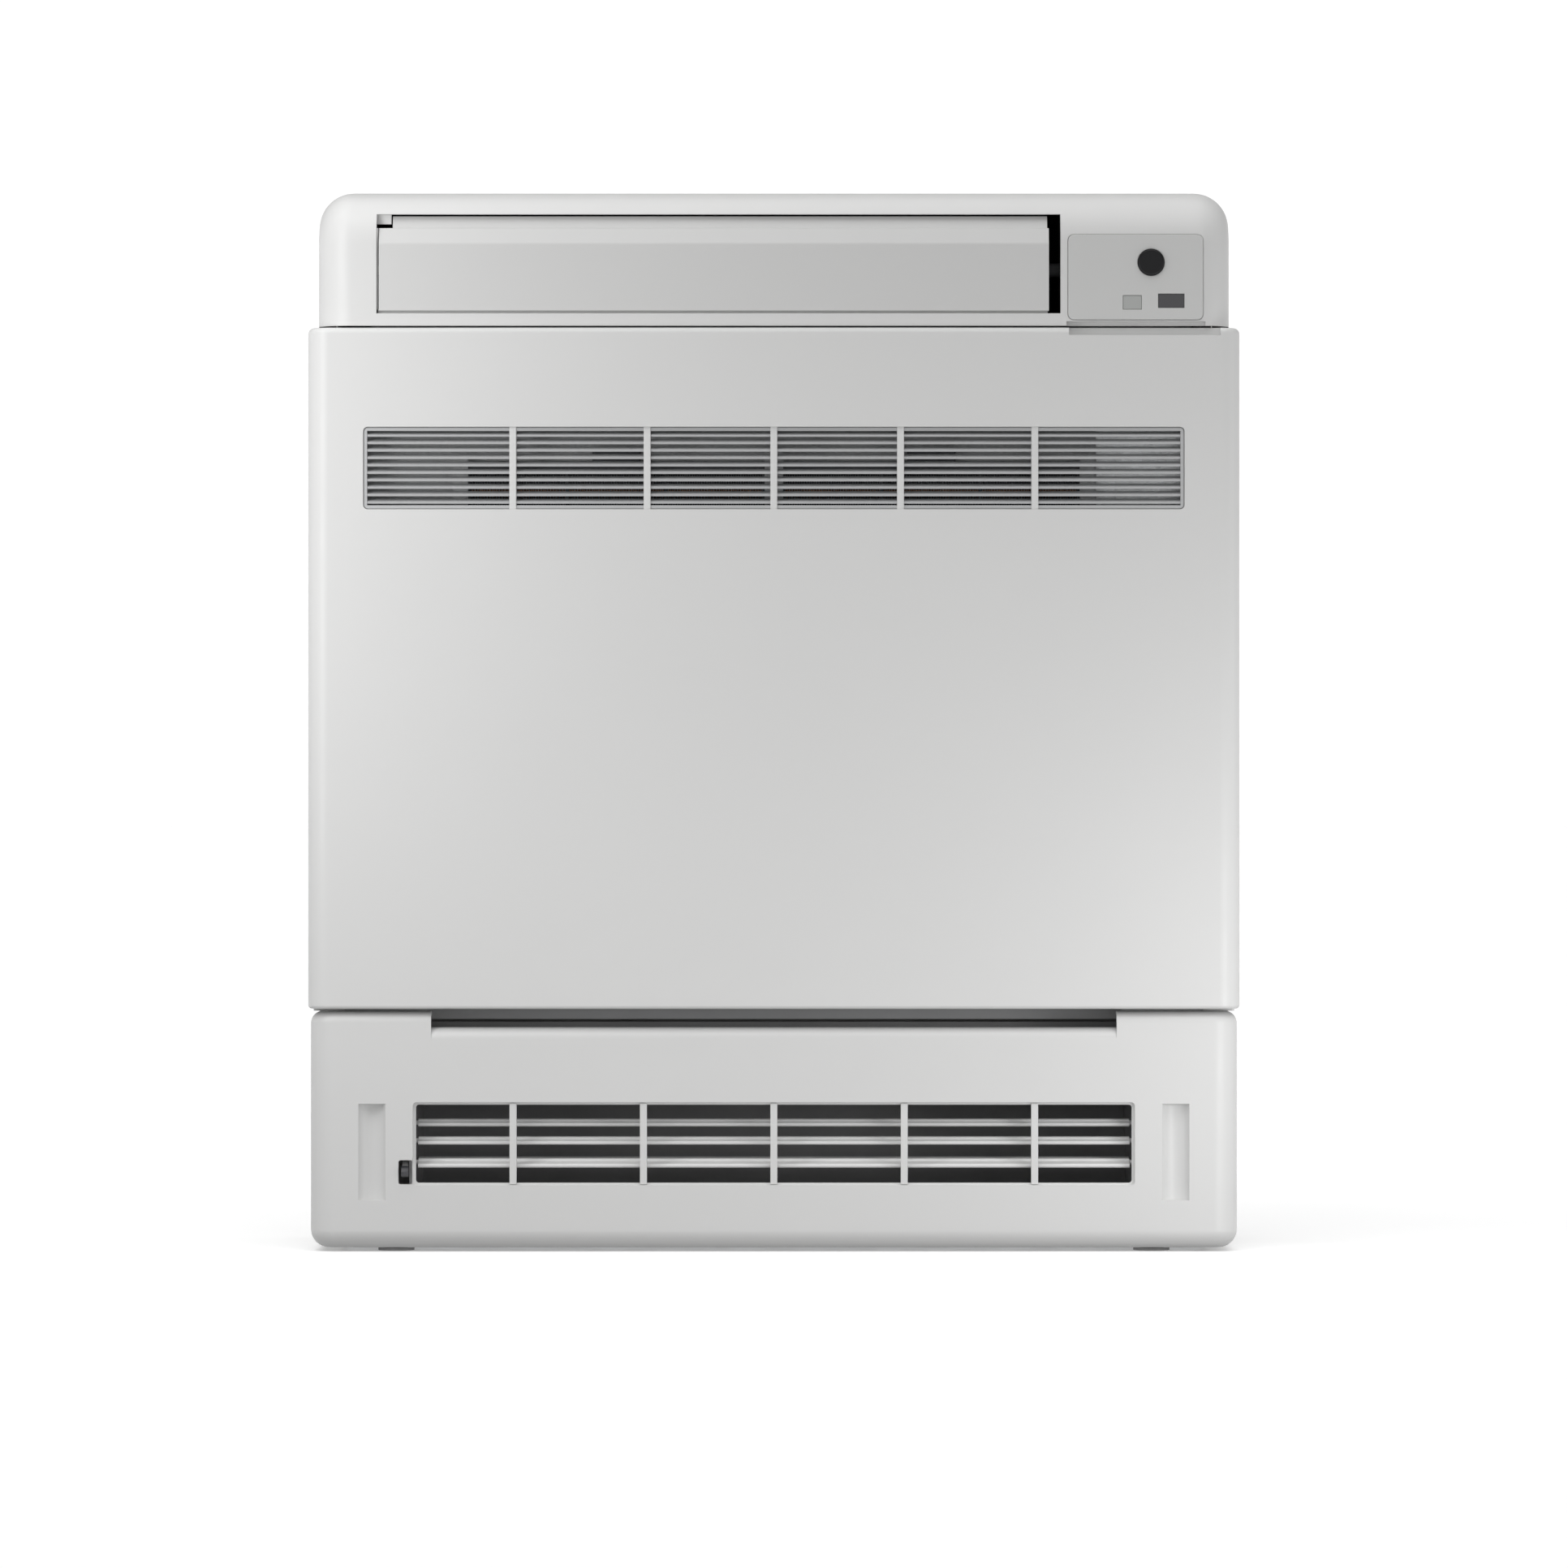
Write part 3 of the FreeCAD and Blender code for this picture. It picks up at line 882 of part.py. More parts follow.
co, c0, c1 = P("coil_half"), P("coil_low"), P("coil_high")
tr, pitch = P("tube_radius"), P("tube_pitch")
TUBES = [P("tube_first") + pitch * i for i in range(12)]
ROWS = [P("row_front"), P("row_rear")]
bores = group("coil_bores", [rod("coil_bore_%d_%d" % (j, i), "x", (y, z), tr + 0.15, dim(-215), dim(215)) for j, y in enumerate(ROWS) for i, z in enumerate(TUBES)])
node("coil_fins", cut("coil_fins_cut", box("coil_block", (-co, co), (P("coil_front"), P("coil_back")), (c0, c1)), bores))
node("coil_end_plates", group("end_plate_group", [
    cut("end_plate_left", box("end_sheet_left", (-co - 2.5, -co - 1), (P("coil_front"), P("coil_back")), (c0 - 1, c1 + 1)), bores),
    cut("end_plate_right", box("end_sheet_right", (co + 1, co + 2.5), (P("coil_front"), P("coil_back")), (c0 - 1, c1 + 1)), bores)]))
tubes = []
X, Y, Z = Vector(1, 0, 0), Vector(0, 1, 0), Vector(0, 0, 1)
for j, y in enumerate(ROWS):
    for i in range(0, 12, 2):
        tubes.append(fuse("hairpin_%d_%d" % (j, i), [
            rod("hairpin_a_%d_%d" % (j, i), "x", (y, TUBES[i]), tr, dim(-212), dim(210)),
            rod("hairpin_b_%d_%d" % (j, i), "x", (y, TUBES[i + 1]), tr, dim(-212), dim(210)),
            half_ring("hairpin_u_%d_%d" % (j, i), dim(210), y, TUBES[i] + pitch / 2, pitch / 2, tr, Z * -1, X)]))
    for i in range(1, 11, 2):
        tubes.append(half_ring("return_%d_%d" % (j, i), dim(-212), y, TUBES[i] + pitch / 2, pitch / 2, tr, Z, X * -1))
tubes.append(half_ring("crossover", dim(-212), (ROWS[0] + ROWS[1]) / 2, TUBES[11], (ROWS[1] - ROWS[0]) / 2, tr, Y * -1, X * -1))
node("coil_tubes", group("coil_tube_group", tubes))

px = P("pipe_x")
gas = bent_pipe("gas_run", [(dim(-212), ROWS[1], TUBES[0]), (px, ROWS[1], TUBES[0]), (px, ROWS[1], P("gas_z")), (px, dim(76), P("gas_z"))], P("gas_radius"), 16)
liquid = bent_pipe("liquid_run", [(dim(-212), ROWS[0], TUBES[0]), (px, ROWS[0], TUBES[0]), (px, ROWS[0], P("liquid_z")), (px, dim(76), P("liquid_z"))], P("liquid_radius"), 16)
node("refrigerant_pipes", group("pipe_group", [gas, liquid]))


def union(name, zed, flats, radius):
    b = body(name)
    place(b, px, 0, zed)
    r = flats / math.sqrt(3)
    along_y(b, name + "_nut", [[(dim(r * math.cos(math.radians(60 * k))), dim(r * math.sin(math.radians(60 * k)))) for k in range(6)]], dim(76), dim(86))
    along_y(b, name + "_thread", [("circle", dim(0), dim(0), dim(radius))], dim(85.5), dim(99))
    return b


node("flare_unions", group("union_group", [union("gas_union", P("gas_z"), 20.0, 7.9), union("liquid_union", P("liquid_z"), 14.0, 5.5)]))

node("drain_pan", cut("drain_pan_cut", box("drain_pan_block", (dim(-214), dim(214)), (dim(-80.5), dim(-43)), (dim(160), dim(182))), box("drain_pan_well", (dim(-211.8), dim(211.8)), (dim(-78.6), dim(-44.8)), (dim(162.2), dim(190)))))
hose = bent_pipe("hose_run", [(dim(-214), dim(-62), dim(170)), (P("hose_x"), dim(-62), dim(170)), (P("hose_x"), dim(-62), P("hose_z")), (P("hose_x"), dim(75), P("hose_z"))], P("hose_radius"), 18)
hose_end = fuse("drain_hose_fuse", [hose, rod("drain_spigot", "y", (P("hose_x"), P("hose_z")), P("spigot_radius"), dim(73), dim(98))])
node("drain_hose", cut("drain_hose_cut", hose_end, rod("drain_bore", "y", (P("hose_x"), P("hose_z")), P("spigot_radius") - 2.2, dim(79), dim(105))))

# ---------------------------------------------------------------- electrics

e0, e1, ey0, ey1, ez0, ez1, ew = (P("ebox_left"), P("ebox_right"), P("ebox_front"), P("ebox_rear"), P("ebox_low"), P("ebox_high"), P("ebox_wall"))
ebox = cut("ebox_shell", box("ebox_block", (e0, e1), (ey0, ey1), (ez0, ez1)), box("ebox_well", (e0 + ew, e1 - ew), (ey0 - 5, ey1 - ew), (ez0 + ew, ez1 - ew)))
posts = [rod("ebox_post_%d" % i, "x", (dim(y), dim(z)), dim(3), e0 + ew - 0.4, dim(250)) for i, (y, z) in enumerate(((-64, 225), (40, 225), (-64, 530), (40, 530)))]
node("control_box", fuse("control_box_fuse", [ebox] + posts))
node("control_box_cover", fuse("ebox_lid_fuse", [
    box("ebox_lid", (dim(213), dim(283)), (ff - 1.2, ff), (dim(206), dim(552))),
    box("ebox_lid_swage", (dim(226), dim(272)), (ff - 2.2, ff - 1), (dim(222), dim(536)))]))
node("main_board", box("main_pcb", (dim(250), dim(251.6)), (dim(-72), dim(48)), (dim(215), dim(540))))
node("board_components", group("component_group", [
    rod("cap_a", "x", (dim(-40), dim(300)), dim(11), dim(251.6), dim(277)),
    rod("cap_b", "x", (dim(-12), dim(300)), dim(11), dim(251.6), dim(277)),
    box("relay_a", (dim(251.6), dim(268)), (dim(-60), dim(-40)), (dim(350), dim(378))),
    box("relay_b", (dim(251.6), dim(268)), (dim(-34), dim(-14)), (dim(350), dim(378))),
    box("transformer", (dim(251.6), dim(286)), (dim(-30), dim(12)), (dim(405), dim(450))),
    box("heat_sink", (dim(251.6), dim(280)), (dim(-62), dim(-40)), (dim(470), dim(525))),
    box("plug_a", (dim(251.6), dim(262)), (dim(20), dim(28)), (dim(240), dim(275))),
    box("plug_b", (dim(251.6), dim(262)), (dim(20), dim(28)), (dim(480), dim(520)))]))
term = fuse("terminal_body", [box("terminal_base", (dim(246), dim(294)), (dim(-70), dim(-46)), (dim(188), ez0))] +
            [box("terminal_rib_%d" % i, (dim(246 + 11.5 * i), dim(248 + 11.5 * i)), (dim(-70), dim(-46)), (dim(176), dim(189))) for i in range(5)])
node("terminal_block", group("terminal_group", [term] + [rod("terminal_screw_%d" % i, "z", (dim(253 + 11.5 * i), dim(-58)), dim(3.4), dim(184), dim(188)) for i in range(4)]))
node("temperature_sensors", group("sensor_group", [
    rod("coil_sensor", "x", (dim(-62), c1 + 3.0), dim(3), dim(150), dim(176)),
    rod("room_sensor", "z", (dim(-224), ff - 2.6), dim(2.6), dim(430), dim(452))]))
node("wiring_harness", group("harness_group", [
    bent_pipe("display_lead", [(dim(280), dim(-20), ez1), (dim(280), dim(-20), dim(612)), (dim(280), dim(-85), dim(612)), (dim(280), dim(-85), dim(640)), (dim(264), dim(-85), dim(640)), (dim(264), board_y + 1.6, dim(640))], dim(2.2), 4),
    bent_pipe("motor_lead", [(dim(212), mc, lz), (dim(228), mc, lz), (dim(228), dim(-30), lz), (dim(228), dim(-30), dim(606)), (dim(256), dim(-30), dim(606)), (dim(256), dim(-30), ez1)], dim(2.2), 5)]))

# ------------------------------------------------------------------- export

doc.recompute()
bad = []
for obj in doc.Objects:
    if "Invalid" in obj.State or "Error" in obj.State:
        bad.append((obj.Name, list(obj.State)))
for obj in NODES:
    shape = obj.Shape
    if shape.isNull() or not shape.isValid() or shape.Volume <= 0:
        bad.append((obj.Label, "shape"))
if bad:
    raise RuntimeError("objects not built: %s" % bad)

os.makedirs("parts", exist_ok=True)
for obj in NODES:
    obj.Shape.exportStep("parts/%s.step" % obj.Label)
    print("%-22s solids %2d  faces %4d  volume %.0f" % (obj.Label, len(obj.Shape.Solids), len(obj.Shape.Faces), obj.Shape.Volume))
print(len(NODES), "sub-parts")
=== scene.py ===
import json
import math

import bmesh
import bpy
from mathutils import Matrix, Vector


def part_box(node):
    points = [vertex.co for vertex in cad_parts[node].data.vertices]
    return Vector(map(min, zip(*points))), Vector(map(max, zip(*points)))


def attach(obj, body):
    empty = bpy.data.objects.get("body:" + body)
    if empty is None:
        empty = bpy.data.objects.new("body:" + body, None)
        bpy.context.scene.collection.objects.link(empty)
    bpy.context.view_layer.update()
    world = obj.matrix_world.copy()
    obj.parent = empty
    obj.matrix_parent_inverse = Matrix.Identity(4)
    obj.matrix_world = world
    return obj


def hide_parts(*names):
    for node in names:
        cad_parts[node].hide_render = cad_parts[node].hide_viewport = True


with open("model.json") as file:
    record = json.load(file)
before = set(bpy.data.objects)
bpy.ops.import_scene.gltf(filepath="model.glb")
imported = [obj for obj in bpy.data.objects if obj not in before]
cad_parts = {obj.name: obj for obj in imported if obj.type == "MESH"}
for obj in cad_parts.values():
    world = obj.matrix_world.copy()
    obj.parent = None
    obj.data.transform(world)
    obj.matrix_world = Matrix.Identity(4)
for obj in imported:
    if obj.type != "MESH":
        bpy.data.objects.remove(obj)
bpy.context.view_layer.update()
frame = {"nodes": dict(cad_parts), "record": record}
nodes = frame["nodes"]
scene = bpy.context.scene
MM = 0.001

# ------------------------------------------------------------------- camera
# Level and square on. The frame is 1.034 m wide at the plane of the front.
REACH = 6.0
cam_data = bpy.data.cameras.new("camera")
cam_data.sensor_width = 36.0
cam_data.lens = 36.0 * REACH / 1.0343
cam_data.clip_end = 100.0
camera = bpy.data.objects.new("camera", cam_data)
camera.location = (0.0067, -0.1000 - REACH, 0.3085)
camera.rotation_euler = (math.radians(90.0), 0.0, 0.0)
scene.collection.objects.link(camera)
scene.camera = camera

scene.view_settings.view_transform = "Standard"
scene.view_settings.look = "None"
scene.view_settings.exposure = 0.0
scene.view_settings.gamma = 1.0


# ---------------------------------------------------------------- materials
class Sheet:
    """A node tree being written, with short words for the nodes used here."""

    def __init__(self, name):
        self.mat = bpy.data.materials.new(name)
        self.mat.use_nodes = True
        self.tree = self.mat.node_tree
        self.tree.nodes.clear()
        self.out = self.new("ShaderNodeOutputMaterial")
        self.bsdf = self.new("ShaderNodeBsdfPrincipled")
        self.link(self.bsdf.outputs["BSDF"], self.out.inputs["Surface"])
        self.where = self.new("ShaderNodeTexCoord").outputs["Object"]

    def new(self, kind):
        return self.tree.nodes.new(kind)

    def link(self, a, b):
        self.tree.links.new(a, b)

    def put(self, **values):
        for k, v in values.items():
            self.bsdf.inputs[k.replace("_", " ")].default_value = v

    def stretched(self, scale, turn=(0, 0, 0)):
        m = self.new("ShaderNodeMapping")
        m.inputs["Scale"].default_value = scale
        m.inputs["Rotation"].default_value = turn
        self.link(self.where, m.inputs["Vector"])
        return m.outputs["Vector"]

    def noise(self, scale, detail=3.0, rough=0.5, at=None, distort=0.0):
        n = self.new("ShaderNodeTexNoise")
        n.inputs["Scale"].default_value = scale
        n.inputs["Detail"].default_value = detail
        n.inputs["Roughness"].default_value = rough
        n.inputs["Distortion"].default_value = distort
        self.link(at or self.where, n.inputs["Vector"])
        return n.outputs["Fac"]

    def cells(self, scale, at=None, feature="F1"):
        n = self.new("ShaderNodeTexVoronoi")
        n.feature = feature
        n.inputs["Scale"].default_value = scale
        self.link(at or self.where, n.inputs["Vector"])
        return n.outputs["Distance"]

    def ramp(self, fac, stops):
        r = self.new("ShaderNodeValToRGB")
        e = r.color_ramp.elements
        while len(e) < len(stops):
            e.new(0.5)
        for item, (pos, col) in zip(e, stops):
            item.position = pos
            item.color = (*col, 1.0)
        self.link(fac, r.inputs["Fac"])
        return r.outputs["Color"]

    def spread(self, fac, low, high, a=0.3, b=0.7):
        r = self.new("ShaderNodeMapRange")
        r.inputs["From Min"].default_value = a
        r.inputs["From Max"].default_value = b
        r.inputs["To Min"].default_value = low
        r.inputs["To Max"].default_value = high
        self.link(fac, r.inputs["Value"])
        return r.outputs["Result"]

    def bump(self, height, strength, distance, under=None):
        b = self.new("ShaderNodeBump")
        b.inputs["Strength"].default_value = strength
        b.inputs["Distance"].default_value = distance
        self.link(height, b.inputs["Height"])
        if under is not None:
            self.link(under, b.inputs["Normal"])
        return b.outputs["Normal"]

    def round_edges(self, radius):
        b = self.new("ShaderNodeBevel")
        b.samples = 4
        b.inputs["Radius"].default_value = radius
        return b.outputs["Normal"]


def shade(col, k):
    return tuple(min(1.0, max(0.0, c * k)) for c in col)


def moulded(name, col, rough, grain=1500.0, depth=0.00003, mottle=0.02, edge=0.0006, gloss=0.0, spec=0.5):
    """Injection-moulded plastic: spark-eroded grain, faint flow mottling."""
    s = Sheet(name)
    flow = s.noise(7.0, 4.0, 0.55)
    s.link(s.ramp(flow, [(0.25, shade(col, 1 - mottle)), (0.75, shade(col, 1 + mottle))]), s.bsdf.inputs["Base Color"])
    fine = s.noise(grain, 2.0, 0.6)
    s.link(s.spread(s.noise(60.0, 3.0), rough - 0.05, rough + 0.05), s.bsdf.inputs["Roughness"])
    under = s.round_edges(edge) if edge else None
    s.link(s.bump(fine, 0.25, depth, under), s.bsdf.inputs["Normal"])
    s.put(Specular_IOR_Level=spec, Coat_Weight=gloss, Coat_Roughness=0.25)
    return s.mat


def sheet_metal(name, col, rough, grain=(60.0, 60.0, 60.0), spangle=0.16, metallic=1.0):
    """Zinc-coated sheet: frosted crystals of uneven tone over a rolled surface."""
    s = Sheet(name)
    bent = s.new("ShaderNodeVectorMath")
    bent.operation = "MULTIPLY_ADD"
    wander = s.new("ShaderNodeTexNoise")
    wander.inputs["Scale"].default_value = 160.0
    wander.inputs["Detail"].default_value = 2.0
    s.link(s.where, wander.inputs["Vector"])
    s.link(wander.outputs["Color"], bent.inputs[0])
    bent.inputs[1].default_value = (0.006, 0.006, 0.006)
    s.link(s.where, bent.inputs[2])
    tone = []
    for scale in (85.0, 210.0):
        n = s.new("ShaderNodeTexVoronoi")
        n.inputs["Scale"].default_value = scale
        s.link(bent.outputs["Vector"], n.inputs["Vector"])
        split = s.new("ShaderNodeSeparateColor")
        s.link(n.outputs["Color"], split.inputs["Color"])
        tone.append(split.outputs["Red"])
    both = s.new("ShaderNodeMix")
    both.data_type = "FLOAT"
    both.inputs["Factor"].default_value = 0.35
    s.link(tone[0], both.inputs["A"])
    s.link(tone[1], both.inputs["B"])
    crystal = both.outputs["Result"]
    s.link(s.ramp(crystal, [(0.05, shade(col, 1 - spangle)), (0.95, shade(col, 1 + spangle))]), s.bsdf.inputs["Base Color"])
    rolled = s.noise(40.0, 5.0, 0.6, s.stretched(grain))
    s.link(s.spread(rolled, rough - 0.08, rough + 0.08), s.bsdf.inputs["Roughness"])
    s.link(s.bump(crystal, 0.12, 0.00006, s.bump(s.noise(900.0, 2.0), 0.2, 0.00002, s.round_edges(0.0004))), s.bsdf.inputs["Normal"])
    s.put(Metallic=metallic)
    return s.mat


def painted(name, col, rough):
    """Powder coat: orange-peel ripple."""
    s = Sheet(name)
    s.link(s.ramp(s.noise(9.0, 3.0), [(0.3, shade(col, 0.975)), (0.7, shade(col, 1.02))]), s.bsdf.inputs["Base Color"])
    s.link(s.spread(s.noise(80.0, 2.0), rough - 0.04, rough + 0.05), s.bsdf.inputs["Roughness"])
    s.link(s.bump(s.noise(420.0, 2.0, 0.4), 0.22, 0.00006, s.round_edges(0.0006)), s.bsdf.inputs["Normal"])
    s.put(Specular_IOR_Level=0.45)
    return s.mat


def metal(name, col, rough, dull=0.08, grain=500.0, at=(1, 1, 1)):
    s = Sheet(name)
    s.link(s.ramp(s.noise(25.0, 5.0, 0.65), [(0.3, shade(col, 1 - dull)), (0.7, shade(col, 1 + dull * 0.5))]), s.bsdf.inputs["Base Color"])
    s.link(s.spread(s.noise(120.0, 4.0, 0.6, s.stretched(at)), rough - 0.07, rough + 0.1), s.bsdf.inputs["Roughness"])
    s.link(s.bump(s.noise(grain, 3.0, 0.6, s.stretched(at)), 0.18, 0.00003, s.round_edges(0.0003)), s.bsdf.inputs["Normal"])
    s.put(Metallic=1.0)
    return s.mat


def rubber(name, col, rough=0.75):
    s = Sheet(name)
    s.link(s.ramp(s.noise(90.0, 4.0, 0.6), [(0.3, shade(col, 0.8)), (0.7, shade(col, 1.25))]), s.bsdf.inputs["Base Color"])
    s.link(s.spread(s.noise(200.0, 3.0), rough - 0.08, rough + 0.08), s.bsdf.inputs["Roughness"])
    s.link(s.bump(s.noise(1600.0, 2.0), 0.35, 0.00004), s.bsdf.inputs["Normal"])
    s.put(Specular_IOR_Level=0.3)
    return s.mat


def laminate(name):
    """Circuit board: solder mask with faint copper runs under it."""
    s = Sheet(name)
    w = s.new("ShaderNodeTexBrick")
    w.inputs["Scale"].default_value = 140.0
    w.inputs["Mortar Size"].default_value = 0.035
    w.inputs["Color1"].default_value = (0.030, 0.150, 0.060, 1)
    w.inputs["Color2"].default_value = (0.022, 0.110, 0.045, 1)
    w.inputs["Mortar"].default_value = (0.060, 0.240, 0.090, 1)
    s.link(s.where, w.inputs["Vector"])
    s.link(w.outputs["Color"], s.bsdf.inputs["Base Color"])
    s.link(s.spread(s.noise(300.0), 0.28, 0.42), s.bsdf.inputs["Roughness"])
    s.link(s.bump(w.outputs["Fac"], 0.3, 0.00003), s.bsdf.inputs["Normal"])
    return s.mat


M = {
    "white_shell": moulded("shell_white", (0.67, 0.67, 0.665), 0.42, mottle=0.008),
    "white_steel": painted("shell_steel", (0.66, 0.66, 0.655), 0.45),
    "galvanised": sheet_metal("zinc_sheet", (0.62, 0.63, 0.64), 0.45),
    # The blade plastic is lighter than the shell: white plastic, partly lifted as painted light against the shade the
    # blades sit in inside the outlet.
    "white_blade": moulded("blade_white_painted_light", (0.76, 0.76, 0.755), 0.5, mottle=0.012),
    "control_grey": moulded("plate_grey", (0.59, 0.592, 0.586), 0.5, grain=1100.0, depth=0.00005, mottle=0.012),
    "button_black": moulded("button_black", (0.008, 0.008, 0.009), 0.36, mottle=0.2, edge=0.0005, spec=0.22),
    "window_dark": moulded("window_smoked", (0.030, 0.030, 0.034), 0.16, mottle=0.15, depth=0.00001, edge=0.0004, gloss=0.4),
    "lens_grey": moulded("lens_milky", (0.40, 0.41, 0.40), 0.25, mottle=0.03, depth=0.00001, edge=0.0004),
    "board_green": laminate("board_laminate"),
    "component_dark": moulded("component_dark", (0.045, 0.045, 0.05), 0.5, mottle=0.2),
    "inner_grey": moulded("inner_grey", (0.54, 0.545, 0.55), 0.55, mottle=0.05),
    # The duct plastic is lifted to mid grey: painted light inside the lower outlet, which gets little light.
    "duct_dark": moulded("duct_dark", (0.36, 0.36, 0.364), 0.85, grain=700.0, depth=0.0003, mottle=0.15, edge=0.0),
    "fan_black": moulded("fan_black", (0.03, 0.03, 0.033), 0.5, mottle=0.15),
    "motor_steel": metal("motor_steel", (0.52, 0.53, 0.54), 0.35),
    "fin_aluminium": metal("fin_aluminium", (0.72, 0.74, 0.76), 0.36),
    "copper": metal("copper_tube", (0.56, 0.31, 0.20), 0.34, dull=0.22),
    "brass": metal("brass_turned", (0.76, 0.56, 0.24), 0.25, dull=0.12, at=(1, 12, 1)),
    "hose_grey": rubber("hose_grey", (0.36, 0.36, 0.36), 0.6),
    "rubber_black": rubber("rubber_black", (0.022, 0.022, 0.022)),
    "filter_grey": moulded("filter_frame", (0.07, 0.073, 0.08), 0.55, mottle=0.1),
}
OWN = {
    # The intake grille is the shell's white plastic darkened to mid grey: painted shade for the shade between its
    # slats.
    "intake_grille": moulded("grille_painted_shade", (0.46, 0.465, 0.47), 0.5, mottle=0.02),
    "upper_louver": moulded("louver_white", (0.605, 0.605, 0.60), 0.33, mottle=0.01),
    # The upper duct is the duct plastic made near black: painted shade for the dark in the gaps round the louver.
    "upper_duct": moulded("duct_painted_shade", (0.028, 0.028, 0.030), 0.85, grain=700.0, depth=0.0003, mottle=0.15, edge=0.0, spec=0.2),
    "louver_crank": moulded("crank_black", (0.016, 0.016, 0.017), 0.6, mottle=0.15, spec=0.2),
    "rubber_feet": rubber("foot_rubber", (0.27, 0.27, 0.27)),
    # The control box lid is a lighter copy of the zinc sheet: painted light on what shows through the right end of the
    # intake grille.
    "control_box_cover": sheet_metal("zinc_lid_painted_light", (0.80, 0.81, 0.82), 0.5),
}
for row in frame["record"]["subparts"]:
    data = nodes[row["node"]].data
    data.materials.clear()
    data.materials.append(OWN.get(row["node"]) or M[row["material_slot"]])

# Even shading where the rounds of the big shells run into long thin facets.
for label in ("front_panel", "top_cover", "bottom_cover", "upper_louver"):
    weld = nodes[label].modifiers.new("join", "WELD")
    weld.merge_threshold = 0.00001
    split = nodes[label].modifiers.new("edges", "EDGE_SPLIT")
    split.split_angle = math.radians(32.0)
    split.use_edge_sharp = False
    even = nodes[label].modifiers.new("even", "WEIGHTED_NORMAL")
    even.weight = 60
    even.keep_sharp = False

# -------------------------------------------------------------------- pieces
def mesh_piece(name, bm, body, material, smooth=False, replaces=None):
    """Turns a bmesh, in metres in the shared frame, into a piece on a body."""
    bmesh.ops.recalc_face_normals(bm, faces=bm.faces)
    mesh = bpy.data.meshes.new(name)
    bm.to_mesh(mesh)
    bm.free()
    if smooth:
        mesh.polygons.foreach_set("use_smooth", [True] * len(mesh.polygons))
        mesh.set_sharp_from_angle(angle=math.radians(35.0))
    obj = bpy.data.objects.new(name, mesh)
    obj.data.materials.append(material)
    scene.collection.objects.link(obj)
    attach(obj, body)
    if replaces:
        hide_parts(*replaces)
    return obj


def bar(bm, lo, hi, soft=0.0, steps=2):
    """A straight bar between two corners in millimetres, its edges rounded."""
    lo, hi = Vector(lo) * MM, Vector(hi) * MM
    part = bmesh.new()
    bmesh.ops.create_cube(part, size=1.0)
    mid, span = (lo + hi) / 2, hi - lo
    bmesh.ops.transform(part, verts=part.verts, matrix=Matrix.Translation(mid) @ Matrix.Diagonal((*span, 1.0)))
    if soft:
        bmesh.ops.bevel(part, geom=list(part.edges), offset=soft * MM, segments=steps, profile=0.5, affect="EDGES", clamp_overlap=True)
    add(bm, part)


def add(bm, part):
    """Copies one bmesh into another."""
    table = {v: bm.verts.new(v.co) for v in part.verts}
    for f in part.faces:
        bm.faces.new([table[v] for v in f.verts])
    part.free()


def prism(bm, ring_a, ring_b):
    """A closed solid between two rings of points with the same count."""
    a = [bm.verts.new(p) for p in ring_a]
    b = [bm.verts.new(p) for p in ring_b]
    n = len(a)
    for i in range(n):
        bm.faces.new((a[i], a[(i + 1) % n], b[(i + 1) % n], b[i]))
    bm.faces.new(list(reversed(a)))
    bm.faces.new(b)


def turned(bm, profile, centre, count=48, wave=None):
    """A solid turned about a line along Y: profile is (radius, y) in mm, from
    the axis round to the axis. wave(radius, y, turn) may move a radius."""
    cx, cz = centre
    rings = []
    for r, y in profile:
        if r == 0.0:
            rings.append([bm.verts.new(Vector((cx, y, cz)) * MM)])
            continue
        ring = []
        for i in range(count):
            a = 2.0 * math.pi * i / count
            q = wave(r, y, i / count) if wave else r
            ring.append(bm.verts.new(Vector((cx + q * math.cos(a), y, cz + q * math.sin(a))) * MM))
        rings.append(ring)
    for a, b in zip(rings, rings[1:]):
        for i in range(count):
            j = (i + 1) % count
            if len(a) == 1 and len(b) == 1:
                continue
            if len(a) == 1:
                bm.faces.new((a[0], b[j], b[i]))
            elif len(b) == 1:
                bm.faces.new((a[i], a[j], b[0]))
            else:
                bm.faces.new((a[i], a[j], b[j], b[i]))


